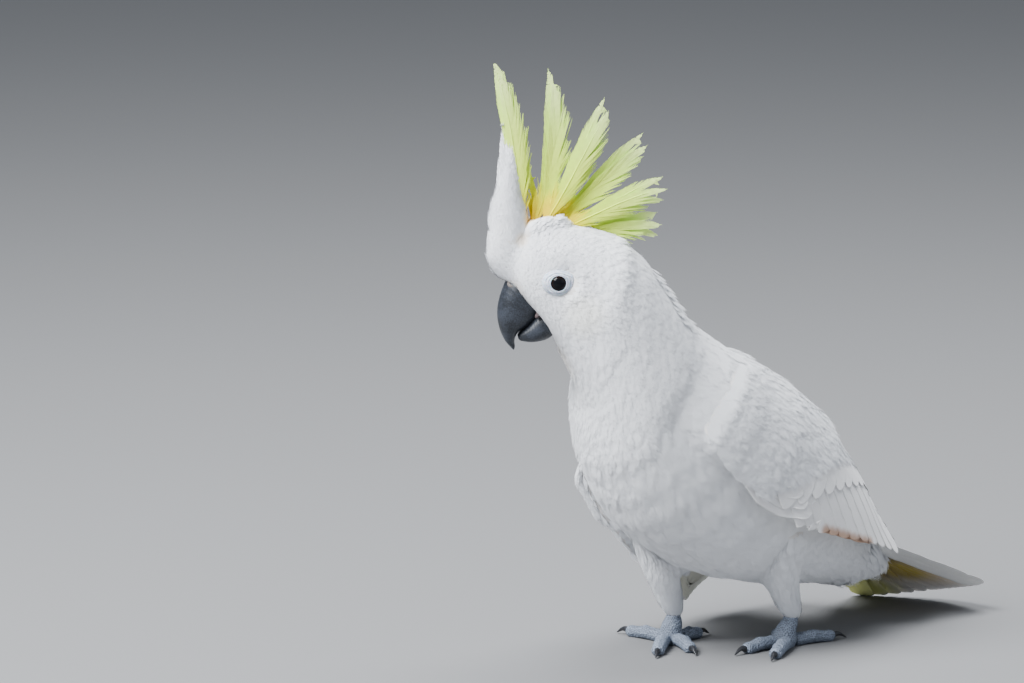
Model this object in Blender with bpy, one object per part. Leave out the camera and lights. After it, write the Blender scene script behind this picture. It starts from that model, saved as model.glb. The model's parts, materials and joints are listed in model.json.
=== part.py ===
"""White cockatoo standing on a level floor with its crest raised, at life size.

Metres. The trunk heads along -Y, the bird's left is +X and +Z is up. The head is turned to the bird's right.
Sizes below are in millimetres and MM turns them into metres when a mesh is made.
"""

import math

import bmesh
import bpy
from mathutils import Matrix, Vector

MM = 0.001
GAP = 0.3  # clear space between neighbouring parts
CUT_GAP = 0.45  # growth of the cutters made from the body, whose faces lean to each other
BODY_SIDES = 22  # points round the head, neck and trunk
BODY_POWER = 2.15  # a little squarer than an ellipse
LEG_SIDES = 16

# The trunk's axis rises forward. Stations lie along it (s) and its depth is measured across it (p).
AXIS_RISE = math.radians(43.2)
# The head's middle, between the eyes and a little behind them, and how far it is turned to the right.
HEAD_CENTRE = Vector((-14.0, -132.5, 266.0))
HEAD_TURN = math.radians(36.0)
# The tail's root, and the directions of its middle feather and of its upper face.
TAIL_ROOT = Vector((0.0, 76.0, 82.5))
TAIL_DIRECTION = Vector((-0.11, 0.875, -0.455)).normalized()
TAIL_UP = Vector((-0.29, 0.41, 0.865)).normalized()
TAIL_LENGTH = 168.0
TAIL_HALF_FAN = math.radians(18.0)
# The middle of each foot on the floor: the right foot is in front.
FEET = {"left": Vector((30.0, 26.0, 0.0)), "right": Vector((-30.0, -27.0, 0.0))}


def clear_scene():
    for obj in list(bpy.data.objects):
        bpy.data.objects.remove(obj)


def make_material(name, colour, roughness):
    mat = bpy.data.materials.new(name)
    mat.use_nodes = True
    shader = mat.node_tree.nodes["Principled BSDF"]
    shader.inputs["Base Color"].default_value = (*colour, 1.0)
    shader.inputs["Roughness"].default_value = roughness
    mat.diffuse_color = (*colour, 1.0)
    return mat


def make_object(name, points, faces, mat, smooth=True):
    mesh = bpy.data.meshes.new(name)
    mesh.from_pydata([Vector(p) * MM for p in points], [], faces)
    work = bmesh.new()
    work.from_mesh(mesh)
    bmesh.ops.recalc_face_normals(work, faces=work.faces)
    work.to_mesh(mesh)
    work.free()
    mesh.polygons.foreach_set("use_smooth", [smooth] * len(mesh.polygons))
    mesh.materials.append(mat)
    obj = bpy.data.objects.new(name, mesh)
    bpy.context.scene.collection.objects.link(obj)
    return obj


def loft(name, rings, mat, tip=None, smooth=True):
    """A closed body through rings of equal length, flat at its start, and ending flat or in a point."""
    sides = len(rings[0])
    points = [p for ring in rings for p in ring]
    faces = [tuple(reversed(range(sides)))]
    for r in range(len(rings) - 1):
        for i in range(sides):
            j = (i + 1) % sides
            a = r * sides
            faces.append((a + i, a + j, a + sides + j))
            faces.append((a + i, a + sides + j, a + sides + i))
    last = (len(rings) - 1) * sides
    if tip is None:
        faces.append(tuple(range(last, last + sides)))
    else:
        points.append(tip)
        for i in range(sides):
            faces.append((last + i, last + (i + 1) % sides, len(points) - 1))
    return make_object(name, points, faces, mat, smooth)


def spline_row(rows, t):
    """A smooth value for every column of a table of rows, at place t counted in rows."""
    t = min(max(t, 0.0), len(rows) - 1.0)
    i = min(int(t), len(rows) - 2)
    u = t - i
    before, after = rows[max(i - 1, 0)], rows[min(i + 2, len(rows) - 1)]
    found = []
    for p0, p1, p2, p3 in zip(before, rows[i], rows[i + 1], after):
        bend = 2 * p0 - 5 * p1 + 4 * p2 - p3
        twist = 3 * (p1 - p2) + p3 - p0
        found.append(0.5 * (2 * p1 + (p2 - p0) * u + bend * u * u + twist * u ** 3))
    return found


ROW_EASE = 0.35


def table_at(rows, key):
    """The row of a table at a value of its first column, eased a little between the rows."""
    low = rows[0]
    for high in rows[1:]:
        if key <= high[0]:
            break
        low = high
    share = min(max((key - low[0]) / max(high[0] - low[0], 1e-6), 0.0), 1.0)
    eased = share * share * (3 - 2 * share)
    share += (eased - share) * ROW_EASE
    return [a + (b - a) * share for a, b in zip(low, high)]


def axis_point(s, p, x=0.0):
    """A point given along the trunk's axis and across it."""
    along = Vector((0.0, math.cos(AXIS_RISE), -math.sin(AXIS_RISE)))
    across = Vector((0.0, math.sin(AXIS_RISE), math.cos(AXIS_RISE)))
    return along * s + across * p + Vector((x, 0.0, 0.0))


def head_point(forward, up, side=0.0):
    """A point given from the head's middle: forward along its heading, upright, and to its left."""
    heading = Vector((-math.sin(HEAD_TURN), -math.cos(HEAD_TURN), 0.0))
    left = Vector((math.cos(HEAD_TURN), -math.sin(HEAD_TURN), 0.0))
    return HEAD_CENTRE + heading * forward + left * side + Vector((0.0, 0.0, up))


def oval(top, bottom, half_width, turn, sides, power=2.0, grow=0.0):
    """A ring of points: a rounded section between a top and a bottom point, its width turned about Z."""
    middle = (top + bottom) / 2
    rise = (top - bottom) / 2
    rise = rise + rise.normalized() * grow
    width = Vector((math.cos(turn), -math.sin(turn), 0.0)) * (half_width + grow)
    ring = []
    for i in range(sides):
        angle = 2 * math.pi * i / sides
        c, s = math.cos(angle), math.sin(angle)
        c = math.copysign(abs(c) ** (2 / power), c)
        s = math.copysign(abs(s) ** (2 / power), s)
        ring.append(middle + rise * c + width * s)
    return ring


# --- The body: stations from the bill's root to the root of the tail ------------------------------

# Head: forward and up of the crown line, forward and up of the chin line, half width, turn in degrees.
HEAD_STATIONS = (
    (45, 7, 11, -30, 13.5, 36),
    (44, 18, 11.5, -36, 19.5, 36),
    (39, 32, 9.5, -43, 23.5, 36),
    (28, 47, 6, -51, 27, 36),
    (8, 48, 2, -60, 30.5, 36),
    (-14, 43, -1, -68, 34, 34),
    (-34, 35, -3, -77, 38, 27),
)
# Trunk: place along the axis, back line, belly line, half width.
TRUNK_STATIONS = (
    (-166, 145, 10, 55),
    (-138, 151, 4.5, 58),
    (-100, 157, 7, 59),
    (-60, 160, 19, 56),
    (-22, 156, 39, 48),
    (12, 147, 62, 37),
    (38, 138, 82, 26),
)
HEAD_END = 5.0  # the head's last station, at the occiput
NECK_END = 8.0  # the neck's last station, at the shoulders
HEAD_RINGS, NECK_RINGS, TRUNK_RINGS = 8, 4, 11


def body_rows():
    """Every station as back point, belly point, half width and turn."""
    rows = []
    for forward, up, low_forward, low_up, half, turn in HEAD_STATIONS:
        back = head_point(forward, up)
        belly = head_point(low_forward, low_up)
        rows.append((*back, *belly, half, math.radians(turn)))
    rows.append((0, -78, 281, -7, -131, 178, 45, math.radians(14)))
    rows.append((0, -54, 248, -2, -127, 150, 51, math.radians(4)))
    for s, back, belly, half in TRUNK_STATIONS:
        rows.append((*axis_point(s, back), *axis_point(s, belly), half, 0.0))
    # The rump and the feathers under the tail close round its root and run out along it.
    rows.append((0, 127, 73, -4, 101, 28, 22, 0.0))
    rows.append((*tail_point(92, 0, 5.5), *tail_point(84, 0, -9), 13, 0.0))
    return rows


def body_ring(rows, t, grow=0.0, shift=0.0):
    """One ring of the body, grown outward and shifted towards the tail."""
    row = spline_row(rows, t)
    top, bottom = Vector(row[0:3]), Vector(row[3:6])
    ring = oval(top, bottom, row[6], row[7], BODY_SIDES, BODY_POWER, grow)
    width = Vector((math.cos(row[7]), -math.sin(row[7]), 0.0))
    return [p + (top - bottom).cross(width).normalized() * shift for p in ring]


def steps_between(start, end, count):
    return [start + (end - start) * i / count for i in range(count + 1)]


def build_body(white):
    rows = body_rows()
    last = len(rows) - 1
    parts = (
        ("head", 0.0, HEAD_END, HEAD_RINGS),
        ("neck", HEAD_END, NECK_END, NECK_RINGS),
        ("trunk", NECK_END, last, TRUNK_RINGS),
    )
    for name, start, end, count in parts:
        rings = [body_ring(rows, t) for t in steps_between(start, end, count)]
        if name != "head":
            rings[0] = body_ring(rows, start, shift=GAP)
        loft(name, rings, white)
        # A copy a little larger cuts the wings, legs, lids and crest, so that they clear this part.
        around = [body_ring(rows, t, CUT_GAP) for t in steps_between(start, end, count)]
        around[0] = body_ring(rows, start, CUT_GAP, -CUT_GAP)
        loft(name + "_cutter", around, white)


def hide_cutter(name):
    cutter = bpy.data.objects[name]
    cutter.hide_render = True
    cutter.display_type = "WIRE"
    return cutter


def cut(obj, cutter_name):
    change = obj.modifiers.new("cut " + cutter_name, "BOOLEAN")
    change.operation = "DIFFERENCE"
    change.solver = "EXACT"
    change.object = hide_cutter(cutter_name)


# --- The wings, folded along the sides like two half roofs ----------------------------------------

WING_CENTRE = 80.0  # across the axis, the middle of the oval that a folded wing follows
# Place along the axis, half width and height of the oval, upper and lower edge in degrees from the back, thickness.
WING_STATIONS = {
    "left": (
        (-178, 47, 50, 62, 90, 4),
        (-168, 64, 68, 44, 99, 8),
        (-146, 67, 76, 28, 101, 10),
        (-108, 69, 84, 14, 98, 10),
        (-62, 68, 89.5, 7, 90, 9),
    ),
    "right": (
        (-178, 47, 50, 68, 104, 4),
        (-168, 64, 65, 54, 122, 8),
        (-146, 67, 72, 42, 131, 10),
        (-108, 69, 82, 34, 136, 10),
        (-62, 68, 86, 26, 139, 9),
    ),
}
FLIGHT_STATIONS = {
    "left": (
        (-62, 68, 89.5, 7, 90, 9),
        (-36, 66, 85, 6, 83, 7),
        (-4, 63, 80, 6, 72, 6),
        (28, 60, 71, 6, 57, 5),
        (58, 58, 65, 6, 40, 4),
    ),
    "right": (
        (-62, 68, 86, 26, 139, 9),
        (-36, 66, 82, 22, 141, 7),
        (4, 63, 78, 18, 134, 6),
        (28, 60, 70, 16, 102, 5),
        (52, 58, 66, 14, 62, 4),
    ),
}
# How far the lower edge of each folded wing hangs clear of the oval, least at the wrist.
WING_FLARE = {"left": 0.0, "right": 27.0}
WRIST_END, FULL_FLARE = -178.0, -135.0
WING_PLACES = (-178, -173, -167, -152, -132, -110, -86, -62 - GAP)
WING_END, FLIGHT_END = -62.0, 56.0
WING_ROUND = 7  # steps across a wing's outer face
WING_BEVEL, FLIGHT_BEVEL = 3.0, 2.5
EDGE_THICK = 2.0
FLIGHT_TIPS = 8  # feather tips that show along the rear edge
TIP_STEP = 0.9  # how far one flight feather lies over the next
TIP_OUT, TIP_IN = 1.5, -4.5  # degrees the lower edge swings at a feather's tip and between two


def wing_point(s, half_width, height, degrees, inward, side):
    angle = math.radians(degrees)
    x = (half_width - inward) * math.sin(angle)
    p = WING_CENTRE + (height - inward) * math.cos(angle)
    return axis_point(s, p, side * x)


def wing_ring(row, side, bevel, flare, step=0.0):
    """A closed section of a folded wing: out along its outer face and back along its inner face."""
    s, half, height, upper, lower, thick = row
    flare *= min(max((s - WRIST_END) / (FULL_FLARE - WRIST_END), 0.15), 1.0)
    outer, inner = [], []
    for i in range(WING_ROUND + 1):
        share = i / WING_ROUND
        degrees = upper + (lower - upper) * share
        full = math.sin(math.pi * (0.5 + 0.88 * (share - 0.5))) ** 0.5
        ease = bevel * (1 - full)
        ridge = step * ((share * FLIGHT_TIPS) % 1.0)
        wide = half + flare * share * share
        deep = EDGE_THICK + (thick - EDGE_THICK) * full
        outer.append(wing_point(s, wide, height, degrees, ease + ridge, side))
        inner.append(wing_point(s, wide, height, degrees, ease + deep, side))
    return outer + list(reversed(inner))


def build_wing(side_name, side, white, cream):
    rings = []
    for s in WING_PLACES:
        row = table_at(WING_STATIONS[side_name], s)
        row[0] = s
        rings.append(wing_ring(row, side, WING_BEVEL, WING_FLARE[side_name]))
    wing = loft("wing_" + side_name, rings, white)
    cut(wing, "trunk_cutter")
    rings = []
    count = 2 * FLIGHT_TIPS
    for i, s in enumerate(steps_between(WING_END, FLIGHT_END, count)):
        row = table_at(FLIGHT_STATIONS[side_name], s)
        row[0] = s
        # Every second ring draws the lower edge in, between two feather tips.
        row[4] += TIP_IN if i % 2 else TIP_OUT
        rings.append(wing_ring(row, side, FLIGHT_BEVEL, WING_FLARE[side_name], TIP_STEP))
    flight = loft("flight_feathers_" + side_name, rings, cream)
    cut(flight, "trunk_cutter")


# --- The tail: a fan of twelve feathers -----------------------------------------------------------

TAIL_FEATHERS = 12
TAIL_START = 62.0
TAIL_RINGS = (90.0, 128.0)
TAIL_ROOT_THICK, TAIL_TIP_THICK = 7.0, 1.8
TAIL_DOME = 2.6  # rise of the middle feathers over the outer ones
FEATHER_LAP = 1.1  # rise of a feather's edge over the next
OUTER_SHORTER, TIP_ROUND = 6.0, 7.0


def tail_point(distance, angle, lift):
    left = TAIL_DIRECTION.cross(TAIL_UP).normalized()
    way = TAIL_DIRECTION * math.cos(angle) + left * math.sin(angle)
    return TAIL_ROOT + way * distance + TAIL_UP * lift


def build_tail(mat):
    """The fan as one plate: its tip is scalloped and each feather lies a little over the next."""
    across = TAIL_FEATHERS * 3
    rings = []
    for length in (TAIL_START, *TAIL_RINGS, None):
        upper, lower = [], []
        for i in range(across + 1):
            share = i / across
            angle = TAIL_HALF_FAN * (2 * share - 1)
            place = (share * TAIL_FEATHERS) % 1.0
            tip = TAIL_LENGTH - OUTER_SHORTER * abs(2 * share - 1) - TIP_ROUND * (2 * place - 1) ** 2
            far = tip if length is None else length
            along = (far - TAIL_START) / (TAIL_LENGTH - TAIL_START)
            thick = TAIL_ROOT_THICK + (TAIL_TIP_THICK - TAIL_ROOT_THICK) * along
            lift = TAIL_DOME * math.cos(math.pi * (share - 0.5)) + FEATHER_LAP * place
            # The first ring is square to the tail, so that it meets the rump all along.
            far = far / math.cos(angle) if length == TAIL_START else far
            upper.append(tail_point(far, angle, lift + thick / 2))
            lower.append(tail_point(far, angle, lift - thick / 2))
        rings.append(upper + list(reversed(lower)))
    tail = loft("tail", rings, mat)
    cut(tail, "trunk_cutter")
    cut(tail, "flight_feathers_left_cutter")
    cut(tail, "flight_feathers_right_cutter")


# --- Legs, feet, toes and claws -------------------------------------------------------------------

# Each leg: the thigh's top, how far back the ankle lies, its height, and the thigh's radius along its length.
LEG_TOPS = {"left": Vector((30.0, 20.0, 84.0)), "right": Vector((-31.0, -37.0, 92.0))}
ANKLE_BACK = {"left": 9.0, "right": 4.0}
ANKLE_HEIGHT = 22.0
THIGH_ROWS = ((0.0, 24.0), (0.3, 18.0), (0.55, 13.6), (0.8, 10.2), (1.0, 7.4))
THIGH_BOW = 5.0
# Height and radius of the foot's rings, from the top of the shank to the flat sole of the pad.
FOOT_ROWS = ((19.6, 6.2), (14.0, 5.8), (9.0, 6.6), (5.0, 8.0), (0.0, 6.8))
SHANK_LEAN = 2.2
# Toes as name, the place of the root on the pad and the way the toe points, both in degrees from -Y towards the
# bird's left, and length. Two toes point forward and two back, and the right foot is turned in.
TOES = {
    "left": (
        ("inner", -12, 8, 26),
        ("outer", 56, 36, 34),
        ("hallux", -112, -130, 19),
        ("rear", 172, 172, 30),
    ),
    "right": (
        ("inner", 86, 66, 26),
        ("outer", 18, 42, 34),
        ("hallux", 176, -168, 19),
        ("rear", -88, -84, 28),
    ),
}
TOE_START = 9.6  # from the foot's middle
TOE_RADIUS = 4.4
TOE_TAPER, TOE_ARCH, KNUCKLE = 0.16, 1.2, 0.35
LONG_TOE = 30.0  # a longer toe shows three pads, a shorter one two
CLAW_LENGTH = 13.0
CLAW_RADIUS, CLAW_TIP_RADIUS, CLAW_ARCH, CLAW_STEPS = 2.3, 0.45, 2.0, 5


def round_ring(middle, along, radius, sides, floor=None):
    """A ring round a line. With a floor it is flattened there, which gives a foot its sole."""
    side = along.cross(Vector((0.0, 0.0, 1.0)))
    side = side.normalized() if side.length > 1e-6 else Vector((1.0, 0.0, 0.0))
    up = side.cross(along).normalized()
    ring = []
    for i in range(sides):
        angle = 2 * math.pi * i / sides
        p = middle + (side * math.cos(angle) + up * math.sin(angle)) * radius
        if floor is not None:
            p.z = max(p.z, floor)
        ring.append(p)
    return ring


def build_leg(side_name, white, skin, horn):
    top, foot = LEG_TOPS[side_name], FEET[side_name]
    ankle = foot + Vector((0.0, ANKLE_BACK[side_name], ANKLE_HEIGHT))
    rings = []
    for share, radius in THIGH_ROWS:
        bow = Vector((0.0, -THIGH_BOW * math.sin(math.pi * share), 0.0))
        rings.append(round_ring(top.lerp(ankle, share) + bow, ankle - top, radius, LEG_SIDES))
    thigh = loft("leg_" + side_name, rings, white)
    cut(thigh, "trunk_cutter")
    # The scaly foot: a short shank that widens into the pad.
    rings = []
    for height, radius in FOOT_ROWS:
        middle = foot.lerp(ankle, (height / ANKLE_HEIGHT) ** SHANK_LEAN)
        middle.z = height
        rings.append(round_ring(middle, Vector((0.0, 0.0, 1.0)), radius, LEG_SIDES))
    loft("foot_" + side_name, rings, skin)
    for toe_name, root, degrees, length in TOES[side_name]:
        build_toe(side_name, toe_name, root, degrees, length, skin, horn)


def build_toe(side_name, toe_name, root, degrees, length, skin, horn):
    turn, place = math.radians(degrees), math.radians(root)
    way = Vector((math.sin(turn), -math.cos(turn), 0.0))
    start = FEET[side_name] + Vector((math.sin(place), -math.cos(place), 0.0)) * TOE_START
    knuckles = 3 if length > LONG_TOE else 2
    count = 3 * knuckles
    rings = []
    for i in range(count + 1):
        share = i / count
        bulge = KNUCKLE * (math.cos(2 * math.pi * share * knuckles) - 1)
        radius = TOE_RADIUS * (1 - TOE_TAPER * share) + bulge
        lift = radius * 0.86 + TOE_ARCH * math.sin(math.pi * share)
        middle = start + way * (share * length) + Vector((0.0, 0.0, lift))
        rings.append(round_ring(middle, way, radius, 8, floor=0.0 if i else 0.4))
    end = start + way * (length + 2.2) + Vector((0.0, 0.0, TOE_RADIUS * 0.8))
    rings.append(round_ring(end, way, 2.4, 8, floor=0.5))
    loft("toe_" + toe_name + "_" + side_name, rings, skin)
    # The claw arches up a little and then curves down to just above the floor.
    rings = []
    fall = TOE_RADIUS * 0.8 - 0.6
    for i in range(CLAW_STEPS):
        share = i / CLAW_STEPS
        rise = CLAW_ARCH * math.sin(math.pi * share) - (fall + 1.6) * share ** 1.8
        middle = end + way * (GAP + share * CLAW_LENGTH) + Vector((0.0, 0.0, rise))
        rings.append(round_ring(middle, way, CLAW_RADIUS * (1 - share) + CLAW_TIP_RADIUS, 8, floor=0.2))
    tip = end + way * (GAP + CLAW_LENGTH) + Vector((0.0, 0.0, -fall))
    loft("claw_" + toe_name + "_" + side_name, rings, horn, tip=tip)


# --- The face: bill and eyes ----------------------------------------------------------------------

# Upper half of the bill: forward and up of the ridge, forward and up of the cutting edge, half width.
UPPER_BILL = (
    (46.3, 5.4, 18.6, -11.6, 12.6),
    (50.3, -5.5, 24.0, -17.4, 12.0),
    (52.0, -16, 30.5, -24.6, 10.2),
    (50.8, -26, 37.6, -29.4, 7.6),
    (47.2, -35, 40.2, -35.0, 4.4),
)
UPPER_TIP = (40.8, -42.3)
LOWER_BILL = (
    (18.6, -13.4, 12.2, -30.2, 10.6),
    (23.6, -19.0, 18.0, -34.8, 10.4),
    (30.2, -26.2, 27.5, -36.8, 9.0),
    (37.2, -30.9, 37.0, -35.6, 6.0),
)
EYE_FORWARD, EYE_UP = 10.0, 8.5
EYE_RADIUS = 7.0
EYE_DEPTH = 26.6  # the eyeball's middle from the head's middle plane
EYE_SIDES, EYE_STEPS, LID_SIDES = 16, 7, 20
LID_LENGTH, LID_HEIGHT = 11.3, 9.2
# Rings of the lids: distance out from the eyeball's middle, and share of the oval's size.
LID_RINGS = ((-3.0, 0.93), (1.2, 1.0), (3.2, 0.86), (4.6, 0.66))


BILL_SIDES = 16
BILL_POWER = 2.2


def bill_ring(row, grow=0.0):
    forward, up, low_forward, low_up, half = row
    top, bottom = head_point(forward, up), head_point(low_forward, low_up)
    return oval(top, bottom, half, HEAD_TURN, BILL_SIDES, BILL_POWER, grow)


def build_bill(horn):
    rows = [spline_row(UPPER_BILL, t) for t in steps_between(0, len(UPPER_BILL) - 1, 8)]
    upper = loft("bill_upper", [bill_ring(r) for r in rows], horn, tip=head_point(*UPPER_TIP))
    cut(upper, "head_cutter")
    below_tip = head_point(UPPER_TIP[0], UPPER_TIP[1] - 1)
    loft("bill_upper_cutter", [bill_ring(r, GAP) for r in rows], horn, tip=below_tip)
    rows = [spline_row(LOWER_BILL, t) for t in steps_between(0, len(LOWER_BILL) - 1, 6)]
    lower = loft("bill_lower", [bill_ring(r) for r in rows], horn)
    cut(lower, "head_cutter")
    cut(lower, "bill_upper_cutter")


def build_eye(side_name, side, dark, skin):
    left = head_point(0, 0, 1) - head_point(0, 0, 0)
    middle = head_point(EYE_FORWARD, EYE_UP, side * EYE_DEPTH)
    way = (left * side).normalized()
    rings = []
    for i in range(1, EYE_STEPS):
        angle = math.pi * i / EYE_STEPS
        ring_middle = middle - way * EYE_RADIUS * math.cos(angle)
        rings.append(round_ring(ring_middle, way, EYE_RADIUS * math.sin(angle), EYE_SIDES))
    loft("eye_" + side_name, rings, dark, tip=middle + way * EYE_RADIUS)
    grown = [[middle + (p - middle) * (1 + GAP / EYE_RADIUS) for p in ring] for ring in rings]
    loft("eye_cutter_" + side_name, grown, dark, tip=middle + way * (EYE_RADIUS + GAP))
    cut(bpy.data.objects["head"], "eye_cutter_" + side_name)
    # The bare lids lie round the eyeball as a low oval ring.
    rings = []
    for depth, scale in LID_RINGS:
        ring = []
        for p in round_ring(middle, way, 1.0, LID_SIDES):
            away = p - middle
            flat = away - Vector((0.0, 0.0, away.z))
            wide = flat * LID_LENGTH + Vector((0.0, 0.0, away.z * LID_HEIGHT))
            ring.append(middle + wide * scale + way * depth)
        rings.append(ring)
    lids = loft("eyelids_" + side_name, rings, skin)
    cut(lids, "head_cutter")
    cut(lids, "eye_cutter_" + side_name)


# --- The crest ------------------------------------------------------------------------------------

# Each long feather: forward and up of its root, of the bend between and of its tip, and half width.
CREST = (
    (35, 40, 34, 105, 54, 157, 8.6),
    (27, 40, 2, 95, 16.5, 148.5, 9.2),
    (20, 44, -11, 87, -20, 129, 9.0),
    (14, 41, -25, 75, -46, 104.5, 8.4),
    (10, 40, -35, 58, -58.5, 75.5, 8.2),
    (6, 36, -34, 39, -56, 50, 8.4),
)
CREST_THICK = 2.4
CREST_SHIFT = 3.1  # the feathers lie by turns left and right of the middle plane
CREST_STEPS, CREST_SIDES = 9, 8
# Width of a crest feather along its length, as shares.
BLADE_WIDTHS = ((0.0, 0.42), (0.25, 0.76), (0.5, 1.0), (0.75, 0.92), (0.9, 0.66), (1.0, 0.3))
# The short white feathers of the forehead: forward and up of each ring's middle, half length and half width.
FRONT_RINGS = (
    (43, 6, 7.0, 8.0),
    (48, 18, 11.0, 11.0),
    (47, 32, 13.0, 12.0),
    (45.5, 44, 12.0, 11.0),
    (46.5, 58, 7.6, 8.0),
    (47, 76, 6.2, 5.5),
    (45.5, 96, 5.2, 4.0),
    (46.5, 114, 3.0, 2.4),
)
FRONT_SIDES = 12


def blade_rings(row, side_shift, grow=0.0):
    """Rings of a feather that stands in the head's middle plane and bends through three points."""
    root, bend, tip, half = row[0:2], row[2:4], row[4:6], row[6] + grow
    rings = []
    for t in steps_between(0.0, 1.0, CREST_STEPS):
        forward = root[0] * (1 - t) ** 2 + 2 * bend[0] * t * (1 - t) + tip[0] * t * t
        up = root[1] * (1 - t) ** 2 + 2 * bend[1] * t * (1 - t) + tip[1] * t * t
        run = (bend[0] - root[0]) * (1 - t) + (tip[0] - bend[0]) * t
        rise = (bend[1] - root[1]) * (1 - t) + (tip[1] - bend[1]) * t
        size = math.hypot(run, rise)
        wide = half * table_at(BLADE_WIDTHS, t)[1]
        ring = []
        for k in range(CREST_SIDES):
            angle = 2 * math.pi * k / CREST_SIDES
            out = wide * math.cos(angle)
            # The front edge is thick, round the shaft, and the rear edge is thin, as the tip is.
            thick = (CREST_THICK + grow) * (1.1 + 0.4 * math.cos(angle)) * (1 - 0.45 * t)
            x, z = forward + rise / size * out, up - run / size * out
            ring.append(head_point(x, z, side_shift + thick * math.sin(angle)))
        rings.append(ring)
    return rings


def ring_middle(ring):
    return sum(ring, Vector()) / len(ring)


def build_crest(yellow, white):
    for number, row in enumerate(CREST, 1):
        rings = blade_rings(row, CREST_SHIFT if number % 2 else -CREST_SHIFT)
        end, before = ring_middle(rings[-1]), ring_middle(rings[-2])
        feather = loft("crest_feather_%d" % number, rings, yellow, tip=end + (end - before) * 0.4)
        cut(feather, "head_cutter")
        if number == len(CREST):
            cut(feather, "neck_cutter")
    rings = []
    for forward, up, half, deep in FRONT_RINGS:
        ring = []
        for k in range(FRONT_SIDES):
            angle = 2 * math.pi * k / FRONT_SIDES
            ring.append(head_point(forward + half * math.cos(angle), up, deep * math.sin(angle)))
        rings.append(ring)
    front = loft("crest_front", rings, white)
    # It clears the head, the bill and a slightly larger copy of the first crest feather.
    loft("crest_root_cutter", blade_rings(CREST[0], CREST_SHIFT, GAP), white)
    cut(front, "head_cutter")
    cut(front, "crest_root_cutter")
    cut(front, "bill_upper_cutter")


def wing_cutter(side_name, side, mat):
    """The flight feathers a little thicker, which the tail clears."""
    rings = []
    for s in steps_between(-40.0, FLIGHT_END + 4.0, 8):
        row = table_at(FLIGHT_STATIONS[side_name], s)
        row[0], row[1], row[2] = s, row[1] + GAP, row[2] + GAP
        # The edges stand a degree or so beyond the feathers' own.
        row[3], row[4], row[5] = row[3] - 1.0, row[4] + TIP_OUT + 1.0, row[5] + 2 * GAP
        rings.append(wing_ring(row, side, 0.0, WING_FLARE[side_name]))
    loft("flight_feathers_" + side_name + "_cutter", rings, mat)


def seat_on_frame():
    """Moves the whole bird so that the frame's origin is the middle of its footprint box."""
    bpy.context.view_layer.update()
    graph = bpy.context.evaluated_depsgraph_get()
    low, high = Vector((math.inf,) * 3), Vector((-math.inf,) * 3)
    for obj in bpy.data.objects:
        if obj.hide_render:
            continue
        shown = obj.evaluated_get(graph)
        for vertex in shown.data.vertices:
            for k in range(3):
                low[k] = min(low[k], vertex.co[k])
                high[k] = max(high[k], vertex.co[k])
    shift = Vector((-(low.x + high.x) / 2, -(low.y + high.y) / 2, -low.z))
    for obj in bpy.data.objects:
        obj.data.transform(Matrix.Translation(shift))


def main():
    clear_scene()
    white = make_material("white_plumage", (0.86, 0.85, 0.80), 0.85)
    cream = make_material("flight_plumage", (0.85, 0.83, 0.74), 0.8)
    yellow = make_material("yellow_plumage", (0.90, 0.84, 0.34), 0.8)
    bill_horn = make_material("bill_horn", (0.055, 0.055, 0.06), 0.45)
    claw_horn = make_material("claw_horn", (0.035, 0.033, 0.034), 0.35)
    foot_skin = make_material("foot_skin", (0.21, 0.21, 0.225), 0.6)
    lid_skin = make_material("lid_skin", (0.62, 0.68, 0.74), 0.6)
    eye_dark = make_material("eye_dark", (0.02, 0.014, 0.012), 0.08)
    build_body(white)
    for side_name, side in (("left", 1), ("right", -1)):
        wing_cutter(side_name, side, white)
        build_wing(side_name, side, white, cream)
        build_leg(side_name, white, foot_skin, claw_horn)
        build_eye(side_name, side, eye_dark, lid_skin)
    build_tail(cream)
    build_bill(bill_horn)
    build_crest(yellow, white)
    seat_on_frame()


main()
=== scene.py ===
import json
import math

import bmesh
import bpy
import numpy as np
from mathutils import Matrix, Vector
from mathutils.bvhtree import BVHTree

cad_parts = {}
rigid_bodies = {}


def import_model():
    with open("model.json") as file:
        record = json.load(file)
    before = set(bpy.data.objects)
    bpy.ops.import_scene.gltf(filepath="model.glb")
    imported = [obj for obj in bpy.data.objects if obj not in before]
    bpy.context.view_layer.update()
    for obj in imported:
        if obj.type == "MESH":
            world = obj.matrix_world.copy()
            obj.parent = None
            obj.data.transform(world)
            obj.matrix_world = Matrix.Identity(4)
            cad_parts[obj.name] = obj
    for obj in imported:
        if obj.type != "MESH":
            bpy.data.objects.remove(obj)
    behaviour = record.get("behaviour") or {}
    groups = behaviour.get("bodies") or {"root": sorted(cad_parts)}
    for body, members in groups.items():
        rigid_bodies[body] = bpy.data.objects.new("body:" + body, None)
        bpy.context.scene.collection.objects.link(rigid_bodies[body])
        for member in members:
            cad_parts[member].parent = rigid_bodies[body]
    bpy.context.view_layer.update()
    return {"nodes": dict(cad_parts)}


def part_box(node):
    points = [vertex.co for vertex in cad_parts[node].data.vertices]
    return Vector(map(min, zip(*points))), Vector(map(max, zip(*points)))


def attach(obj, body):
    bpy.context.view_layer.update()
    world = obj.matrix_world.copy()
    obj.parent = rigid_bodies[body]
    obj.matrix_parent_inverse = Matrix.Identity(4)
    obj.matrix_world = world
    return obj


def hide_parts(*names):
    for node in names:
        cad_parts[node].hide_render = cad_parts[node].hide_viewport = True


for leftover in list(bpy.data.objects):
    bpy.data.objects.remove(leftover)
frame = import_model()

# --- The setting --------------------------------------------------------------------------------
# A pale floor that runs out of sight, one large soft lamp above and two weak ones, and a camera far
# enough away that the bird keeps its proportions. The point between the feet places all of them.

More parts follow.
